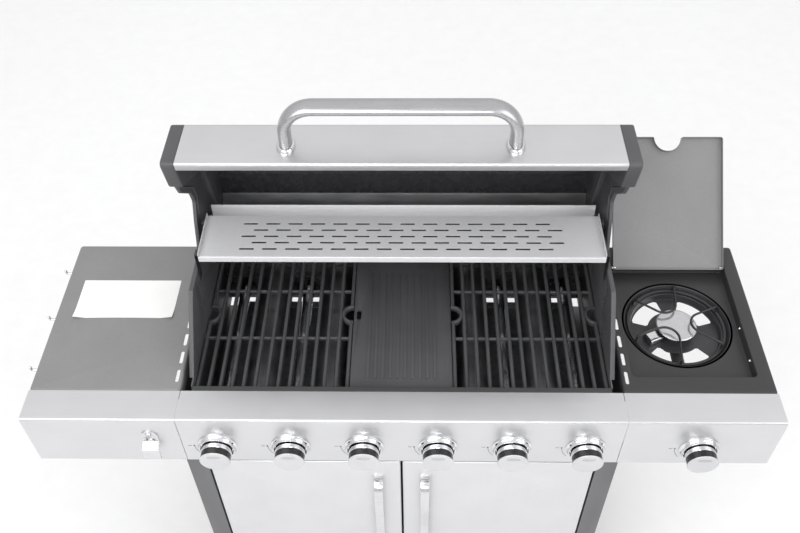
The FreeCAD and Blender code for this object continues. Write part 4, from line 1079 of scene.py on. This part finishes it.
# ---------------------------------------------------------------- side shelves
@dataclass
class Shelves:
    """Folded side shelves with vents; the right one has a well for the side burner."""
    inner: float = 443.5
    outer: float = 750.0
    depth: float = 405.0
    rim: float = 30.0
    sheet: float = 1.2
    fold_r: float = 5.0
    vent_x: float = 455.0
    vents: tuple = (37.0, 46.4, 8)
    vent_size: tuple = (31.0, 7.0)
    well_x: tuple = (468.0, 719.0)
    well_y: tuple = (41.5, 348.0)
    well_depth: float = 24.0
    well_fold_r: float = 2.5
    bowl: tuple = (592.0, 196.0, 112.0)
    hinge: tuple = (338.0, 891.0)
    hook_ys: tuple = (60.0, 195.0, 330.0)
    label_corner: tuple = (-711.0, 187.0)
    label_size: tuple = (216.0, 109.0)
    label_curl: float = 5.0
    opener_screw: tuple = (-503.0, -73.0, 843.0)
    well_screw_ys: tuple = (90.0, 175.0)

    def vent_outlines(self) -> list[Points]:
        """Round-ended vents along the inner edge, on the right-hand side."""
        first, pitch, count = self.vents
        return [slot_outline(self.vent_x, first + i * pitch, *self.vent_size, True) for i in range(count)]

    def tray(self, holes: list[Points]) -> Skin:
        """Top face with holes, and the rim folded down all round along a quarter circle."""
        edge = rectangle(self.inner, self.outer, 0, self.depth, 7)
        loops = quarter_round(edge, self.fold_r, TOP, -1)
        skin = Skin().stack(loops + [(edge, TOP - self.rim)], Plane.FLAT, (False, False))
        return skin.filled(loops[0][0], self.vent_outlines() + holes, Plane.FLAT, TOP)

    def left(self) -> None:
        """Left shelf, mirrored from the right-hand side, and its paper label. The label's front corners
        curl up: the rise falls off as the square of the distance from the front edge."""
        # The left tray takes the lighter copy of the shelf paint: painted reflection.
        Piece("shelf_left_tray", "stainless_panel", (POWDER_COAT_LIT,), nodes=("shelf_left",), wall=self.sheet,
              facing=(0, 0, 1)).build(self.tray([]).on(Side.LEFT))
        u, v = np.meshgrid(np.linspace(0, 1, 25), np.linspace(0, 1, 13), indexing="ij")
        corner = np.clip(np.abs(u - 0.5) * 2 - 0.75, 0, 1) / 0.25
        curl = self.label_curl * np.clip(1 - v * 3, 0, 1) ** 2 * corner
        (x0, y0), (width, depth) = self.label_corner, self.label_size
        x = x0 + width * u
        y = y0 + depth * v + 2 * np.sin(math.pi * u) * (1 - v)
        under = np.stack([x, y, TOP + 0.15 + curl], axis=-1)
        Piece("blank_label", "stainless_panel", (PAPER,), wall=-0.25,
              facing=(0, 0, 1)).build(Skin().patch(under))

    def right(self) -> None:
        """Right shelf with its well, the well's round opening and the ears of the lid's hinge."""
        x0, x1 = self.well_x
        y0, y1 = self.well_y
        wall = rectangle(x0, x1, y0, y1, 8)
        floor = TOP - self.well_depth
        down = quarter_round(wall, -self.well_fold_r, TOP, 1)
        foot = quarter_round(wall, self.well_fold_r, floor, 1)[::-1]
        skin = self.tray([down[0][0]])
        skin.stack(down + foot, Plane.FLAT, (False, False))
        u, v, r = self.bowl
        skin.filled(foot[-1][0], [circle(u, v, r, 96)], Plane.FLAT, floor)
        Piece("shelf_right_tray", "stainless_panel", (DARK_GREY,), nodes=("shelf_right",), wall=self.sheet,
              facing=(0, 0, 1)).build(skin)
        ears = Skin()
        for x in (x0 - self.sheet, x1):
            ears.slab(circle(*self.hinge, 7.0, 32), Plane.SIDE, x - 0.1, x + self.sheet + 0.1, 0.3)
        Piece("lid_ears", "stainless_panel", (DARK_GREY,)).build(ears)

    def screw_head(self, r: float, h: float) -> Points:
        """Pan head's profile with a recess, for a head of radius r and height h."""
        return fold([(0, h * 0.45), (r * 0.34, h * 0.45), (r * 0.4, h), (r * 0.8, h * 0.85), (r, h * 0.3),
                     (r, -1.2), (0, -1.2)], [0.1, 0.2, 1.0, 0.5, 0.2], 3)

    def trim(self) -> None:
        """Tool hooks on the left rim, screws, and the bottle opener."""
        skin = Skin()
        z = TOP - self.rim / 2
        a = np.linspace(0, math.pi / 2, 5)
        tip = np.stack([3 * np.cos(a), 3 * np.sin(a)], axis=1)
        nut = fold([(0, 0), (6.5, 0), (6.5, 2.4), (3, 3.2)], [0.6, 0.8], 3)
        for y in self.hook_ys:
            path = fold([(-749, y, z), (-767, y, z), (-767, y, z + 8)], 4.0, 8)
            skin.sweep(circle(0, 0, 3, 20), path, (0, 1, 0))
            skin.lathe(tip, (-767, y, z + 8), Axis.UP, 0, 20)
            skin.lathe(nut * [1, -1], (-self.outer, y, z), Axis.RIGHT, 0, 6)
        Piece("shelf_hooks", "polished_stainless", (POLISHED,), nodes=("tool_hooks",)).build(skin)
        screws = Skin()
        screws.lathe(self.screw_head(6, 4), self.opener_screw, Axis.FRONT, 0, 32)
        for y in self.well_screw_ys:
            screws.lathe(self.screw_head(3.5, 3) * [1, -1], (self.well_x[1], y, TOP - 12), Axis.RIGHT, 0, 24)
        Piece("pan_head_screws", "polished_stainless", (POLISHED,), nodes=("fasteners",)).build(screws)
        soften("bottle_opener", POLISHED, 0.6)

    def build(self) -> None:
        """Builds both shelves and their trim."""
        self.left()
        self.right()
        self.trim()


# ---------------------------------------------------------------- side burner
@dataclass
class SideBurner:
    """Round burner in a windowed bowl, under a wire trivet and a folded lid."""
    centre: tuple = (592.0, 196.0)
    tube_x: float = 598.5
    low: float = 838.0
    rim: float = 866.0
    sheet: float = 1.2
    windows: tuple = ((17, 75), (105, 163), (224, 314))
    window_r: tuple = (57.0, 92.0)
    wire: float = 2.5
    trivet_r: float = 102.0
    trivet_turn: float = -6.0
    trivet_top: float = 876.5
    trivet_foot: float = 858.0
    lid_x: tuple = (471.0, 716.0)
    lid_y: tuple = (44.5, 342.0)
    lid_z: tuple = (884.0, 896.0)
    lid_fold_r: float = 2.5
    notch: float = 31.0
    hinge: tuple = (338.0, 891.0)
    open_angle: float = 138.0

    def bowl(self) -> None:
        """Pressed bowl: flat floor with three curved windows, wall, ledge and rim."""
        x, y = self.centre
        r0, r1 = self.window_r
        holes = []
        for start, stop in self.windows:
            a = np.radians(np.linspace(start + 4, stop - 4, 24))
            far = np.stack([np.cos(a), np.sin(a)], axis=1) * r1
            near = np.stack([np.cos(a), np.sin(a)], axis=1) * r0
            b = np.radians([stop, stop, start, start])
            bevels = np.array([r1 - 3.5, r0 + 3.5, r0 + 3.5, r1 - 3.5])
            ends = np.stack([np.cos(b), np.sin(b)], axis=1) * bevels[:, None]
            holes.append(np.vstack([far, ends[:2], near[::-1], ends[2:]]) + [x, y])
        floor_r, ledge = 91.5, self.low + 16
        holes.append(circle(x, y, 24, 48))
        skin = Skin().filled(circle(x, y, floor_r, 120), holes, Plane.FLAT, self.low)
        wall = fold([(floor_r, self.low), (94, self.low), (96, ledge), (107, ledge), (111, self.rim),
                     (117, self.rim)], [1.2, 1.5, 2, 2], 4)
        skin.lathe(wall, (x, y, 0), Axis.UP, 0, 120)
        Piece("pressed_bowl", "zinc_steel", (BOWL_ENAMEL,), nodes=("burner_bowl",), wall=self.sheet,
              facing=(0, 0, 1)).build(skin)

    def burner(self) -> None:
        """Cast head on its mixing tube, the loose cap, and the igniter's bright cover."""
        x, y = self.centre
        skin = Skin()
        head = fold([(0, -50), (20, -50), (20, 8), (39.5, 22), (39.5, 24), (0, 24)], [3, 6, 3, 0.6], 5)
        skin.lathe(head, (x, y, self.low), Axis.UP)
        seat = fold([(19, 1.3), (27, 1.3), (27, 3.2), (19, 3.2)], [0.3, 0.6], 3)
        skin.lathe(np.vstack([seat, seat[:1]]), (x, y, self.low), Axis.UP)
        tube = fold([(0, 0), (13, 0), (13, 210), (10.5, 210), (10.5, 30), (0, 30)], [2, 0.5, 0.5, 1], 3)
        skin.lathe(tube, (self.tube_x, y, self.low - 36), Axis.FRONT, 0, 40)
        cap = fold([(0, 23), (43, 23), (43.5, 25), (41, 26.6), (30, 27), (0, 27)], [0.8, 1.2, 3, 4], 4)
        skin.lathe(cap, (x, y, self.low), Axis.UP, 1)
        Piece("burner_head", "cast_iron_enamel", (CAST_IRON, CAP_ENAMEL), nodes=("side_burner",)).build(skin)
        corners = np.array([(-71, -13), (-58, -40), (-30, -27), (-42, 1)], float) + self.centre
        cover = Skin().slab(fold_loop(corners, 3), Plane.FLAT, self.low + 0.4, self.low + 17, 2.2)
        Piece("igniter_cover", "polished_stainless", (POLISHED,)).build(cover)

    def trivet(self) -> None:
        """Three wire loops on a ring. Each runs up, in, round near the middle, out and down."""
        x, y = self.centre
        r, top, foot = self.trivet_r, self.trivet_top, self.trivet_foot
        wire = circle(0, 0, self.wire, 14)
        skin = Skin()
        for i in range(3):
            a, b = (math.radians(self.trivet_turn + 120 * i + s * 30) for s in (1, -1))
            pa, pb = ((x + r * math.cos(t), y + r * math.sin(t)) for t in (a, b))
            path = fold([(*pa, foot), (*pa, top), (x, y, top), (*pb, top), (*pb, foot)], [7, 28, 7], 14)
            away = (math.cos((a + b) / 2), math.sin((a + b) / 2), 0.35)
            skin.sweep(wire, path, away)
        a = np.arange(96) * 2 * math.pi / 96
        ring = np.stack([x + r * np.cos(a), y + r * np.sin(a), np.full(96, foot)], axis=1)
        skin.sweep(rectangle(-3.4, 3.4, -2.5, 2.5, 1.6, 4), ring, (0, 0, 1), closed=True)
        Piece("wire_trivet", "polished_stainless", (TRIVET_ENAMEL,), nodes=("trivet",)).build(skin)

    def lid(self) -> None:
        """Shallow lid with a finger notch, built closed and turned open about its rear pins."""
        x0, x1 = self.lid_x
        y0, y1 = self.lid_y
        middle = (x0 + x1) / 2
        a = np.linspace(math.pi, 0, 19)[1:-1]
        arc = np.stack([middle + self.notch * np.cos(a), y0 + self.notch * np.sin(a)], axis=1)
        corners = [(x0, y0), (middle - self.notch, y0)] + [tuple(p) for p in arc]
        corners += [(middle + self.notch, y0), (x1, y0), (x1, y1), (x0, y1)]
        edge = fold_loop(corners, [5, 3] + [0] * len(arc) + [3, 5, 5, 5], 4)
        low, top = self.lid_z
        loops = quarter_round(edge, self.lid_fold_r, top, -1, 4) + [(edge, low)]
        skin = Skin().stack(loops, Plane.FLAT, (False, False)).filled(loops[0][0], [], Plane.FLAT, top)
        skin.turned(*self.hinge, -self.open_angle)
        a = math.radians(self.open_angle)
        # The lid takes the lighter copy of the shelf paint: painted reflection.
        Piece("side_lid_pan", "stainless_panel", (POWDER_COAT_LIT,), "side_burner_lid", ("side_lid",),
              wall=self.sheet, facing=(0, math.sin(a), math.cos(a))).build(skin)

    def build(self) -> None:
        """Builds the bowl, burner, trivet and lid."""
        self.bowl()
        self.burner()
        self.trivet()
        self.lid()


# ---------------------------------------------------------------- cabinet
@dataclass
class Cabinet:
    """Doors with bar handles. The frame, panels, tray and gas parts are softened CAD nodes."""
    front: float = -60.0
    door_x: tuple = (2.0, 405.5)
    door_z: tuple = (129.5, 720.5)
    door_t: float = 20.0
    door_fold_r: float = 3.5
    door_rim: float = 14.0
    sheet: float = 1.2
    pull_x: float = 49.7
    pull_w: float = 19.5
    pull_t: float = 5.0
    pull_out: float = 32.0
    pull_z: tuple = (343.5, 663.5)

    def door(self, side: Side) -> None:
        """One door: a pan with rounded front edges, its rim turned in at the back.

        Args:
            side: which door.
        """
        node = f"door_{side.value}"
        edge = rectangle(*self.door_x, *self.door_z, 4)
        loops = quarter_round(edge, self.door_fold_r, self.front, 1)
        back = self.front + self.door_t - 0.2
        loops += [(edge, back - 1), (inset(edge, 1), back), (inset(edge, self.door_rim), back)]
        skin = Skin().stack(loops, Plane.FACE, (False, False)).filled(loops[0][0], [], Plane.FACE, self.front)
        Piece(f"{node}_pan", "stainless_panel", (BRUSHED_UPRIGHT,), BODY_OF[node], (node,),
              wall=self.sheet, facing=(0, -1, 0)).build(skin.on(side))

    def pull(self, side: Side) -> None:
        """One handle: a flat bar whose ends curve back to the door in quarter circles.

        Args:
            side: whose door it is on.
        """
        r, t = self.pull_out, self.pull_t / 2
        z0, z1 = self.pull_z
        x = self.pull_x if side is Side.RIGHT else -self.pull_x
        foot, grip = self.front + 0.3, self.front - r + t
        path = fold([(x, foot, z1 - t), (x, grip, z1 - t), (x, grip, z0 + t), (x, foot, z0 + t)],
                    r - t - 1, 12)
        bar = rectangle(-t, t, -self.pull_w / 2, self.pull_w / 2, 1.4, 4)
        node = f"door_handle_{side.value}"
        Piece(f"bar_{side.value}", "polished_stainless", (POLISHED,), BODY_OF[node], (node,)).build(
            Skin().sweep(bar, path, (1, 0, 0)))

    def build(self) -> None:
        """Builds doors and handles and softens the frame, panels, tray and gas parts."""
        for side in Side:
            self.door(side)
            self.pull(side)
        for node, finish, slot, width in (
                ("front_frame", FRAME_GREY, "painted_frame", 0.9),
                ("cabinet_sides", FRAME_GREY, "painted_frame", 0.35),
                ("cabinet_back", FRAME_GREY, "painted_frame", 0.35),
                ("cabinet_floor", FRAME_GREY, "painted_frame", 0.35),
                ("grease_tray", ZINC, "zinc_steel", 0.35),
                ("hinge_pins", POLISHED, "polished_stainless", 0.5),
                ("gas_valves", BRASS, "brass_fittings", 0.6),
                ("gas_manifold", ZINC, "zinc_steel", 0.5)):
            soften(node, finish, width)


@dataclass
class Casters:
    """Four casters; the front two have brake levers."""
    x: float = 400.0
    ys: tuple = (("front", -25.0), ("rear", 355.0))
    trail: float = 26.0
    radius: float = 37.5
    width: float = 24.0

    def wheel(self, name: str, x: float, y: float) -> None:
        """One wheel: rubber tyre, nylon centre with a recessed face, and the axle boss.

        Args:
            name: name of its node.
            x: the caster's place across.
            y: the caster's place in depth.
        """
        h, r = self.width / 2, self.radius
        skin = Skin()
        tyre = fold([(27, h - 1.5), (r - 3, h - 0.4), (r, h - 4), (r, -h + 4), (r - 3, -h + 0.4),
                     (27, -h + 1.5)], [2, 3, 3, 2], 5)
        centre = (x, y + self.trail, r)
        skin.lathe(tyre, centre, Axis.RIGHT, 0)
        web = fold([(27, h - 1.5), (24, h - 1.5), (22, h - 7), (12, h - 7), (10, h), (4.1, h)],
                   [0.8, 1.5, 1.5, 1], 4)
        skin.lathe(web, centre, Axis.RIGHT, 1).lathe(web * [1, -1], centre, Axis.RIGHT, 1)
        skin.lathe([(4.1, h), (4.1, -h)], centre, Axis.RIGHT, 1)
        Piece(f"{name}_tyred", "wheel_rubber", (RUBBER, NYLON), BODY_OF[name], (name,)).build(skin)

    def build(self) -> None:
        """Builds the wheels and softens forks and levers."""
        for side, s in (("left", -1), ("right", 1)):
            for end, y in self.ys:
                self.wheel(f"caster_wheel_{end}_{side}", s * self.x, y)
                soften(f"caster_fork_{end}_{side}", ZINC, 0.7)
            soften(f"brake_lever_{side}", BLACK_PLASTIC, 0.8)


# ---------------------------------------------------------------- studio
@dataclass
class Studio:
    """Pale floor, soft lights and the camera."""
    floor_half: float = 14.0
    lens: float = 39.71
    place: tuple = (30.67, -1011.09, 1466.87)
    pitch: float = 0.8259237
    yaw: float = 0.0277032
    roll: float = -0.0177706
    lights: tuple = (("key", (-1.6, -2.2, 3.4), (0, 0, 0.8), 2.6, 60, 180),
                     ("fill", (2.6, -1.2, 2.6), (0, 0, 0.8), 2.4, 28, 180),
                     ("front", (0, -2.4, 2.2), (0, 0.33, 1.0), 0.9, 1.2, 35))

    def floor(self) -> None:
        """A wide pale floor."""
        h = self.floor_half
        mesh = bpy.data.meshes.new("studio_floor")
        mesh.from_pydata([(-h, -h, 0), (h, -h, 0), (h, h, 0), (-h, h, 0)], [], [(0, 1, 2, 3)])
        pale = Finish("studio_floor", "#F4F4F4", "#F1F1F1", 0.0, (0.8, 0.9), (40, 40, 40))
        mesh.materials.append(pale.material())
        obj = bpy.data.objects.new("studio_floor", mesh)
        bpy.context.scene.collection.objects.link(obj)

    def light(self, name: str, place: tuple, target: tuple, size: float, power: float,
              spread: float) -> None:
        """One square soft light.

        Args:
            name: its name.
            place: where it is, in metres.
            target: what it faces.
            size: side length in metres.
            power: power in watts.
            spread: angle of its beam in degrees.
        """
        data = bpy.data.lights.new(name, "AREA")
        data.size, data.energy, data.spread = size, power, math.radians(spread)
        obj = bpy.data.objects.new(name, data)
        way = Vector(target) - Vector(place)
        obj.matrix_world = Matrix.Translation(place) @ way.to_track_quat("-Z", "Y").to_matrix().to_4x4()
        bpy.context.scene.collection.objects.link(obj)

    def sky(self) -> None:
        """Even white surroundings, a little darker towards the horizon."""
        world = bpy.data.worlds.new("studio")
        world.use_nodes = True
        tree = world.node_tree
        place = add_node(tree, "TexCoord", {}, {}).outputs["Generated"]
        height = add_node(tree, "SeparateXYZ", {}, {"Vector": place}).outputs["Z"]
        ramp = add_node(tree, "ValToRGB", {}, {"Fac": height})
        ramp.color_ramp.elements[0].color = linear("#DCDCDE")
        ramp.color_ramp.elements[1].color = linear("#FFFFFF")
        ramp.color_ramp.elements[1].position = 0.75
        tree.links.new(ramp.outputs["Color"], tree.nodes["Background"].inputs["Color"])
        tree.nodes["Background"].inputs["Strength"].default_value = 1.0
        bpy.context.scene.world = world

    def camera(self) -> None:
        """Camera above the front, turned by yaw about the upright, pitch down and a small roll."""
        data = bpy.data.cameras.new("camera")
        data.lens, data.sensor_width = self.lens, 36.0
        data.clip_end = 50.0
        obj = bpy.data.objects.new("camera", data)
        cp, sp = math.cos(self.pitch), math.sin(self.pitch)
        cr, sr = math.cos(self.roll), math.sin(self.roll)
        spin = Matrix.Rotation(self.yaw, 3, "Z")
        ahead, up, right = (spin @ Vector(v) for v in ((0, cp, -sp), (0, sp, cp), (1, 0, 0)))
        across, rise = cr * right + sr * up, cr * up - sr * right
        turn = Matrix((across, rise, -ahead)).transposed().to_4x4()
        x, y, z = self.place
        where = DATUM.metres(np.array([x, y, TOP + z]))
        obj.matrix_world = Matrix.Translation(Vector(where)) @ turn
        bpy.context.scene.collection.objects.link(obj)
        bpy.context.scene.camera = obj

    def build(self) -> None:
        """Sets the stage."""
        self.floor()
        self.sky()
        for light in self.lights:
            self.light(*light)
        self.camera()
        bpy.context.scene.view_settings.view_transform = "Standard"


def main() -> None:
    """Builds the grill and its studio."""
    logging.basicConfig(level=logging.INFO, format="%(name)s: %(message)s")
    Studio().build()
    for assembly in (Hood(), Firebox(), Grates(), ControlPanel(), Shelves(), SideBurner(), Cabinet(),
                     Casters()):
        LOG.info("building %s", type(assembly).__name__)
        assembly.build()


if __name__ == "__main__":
    main()
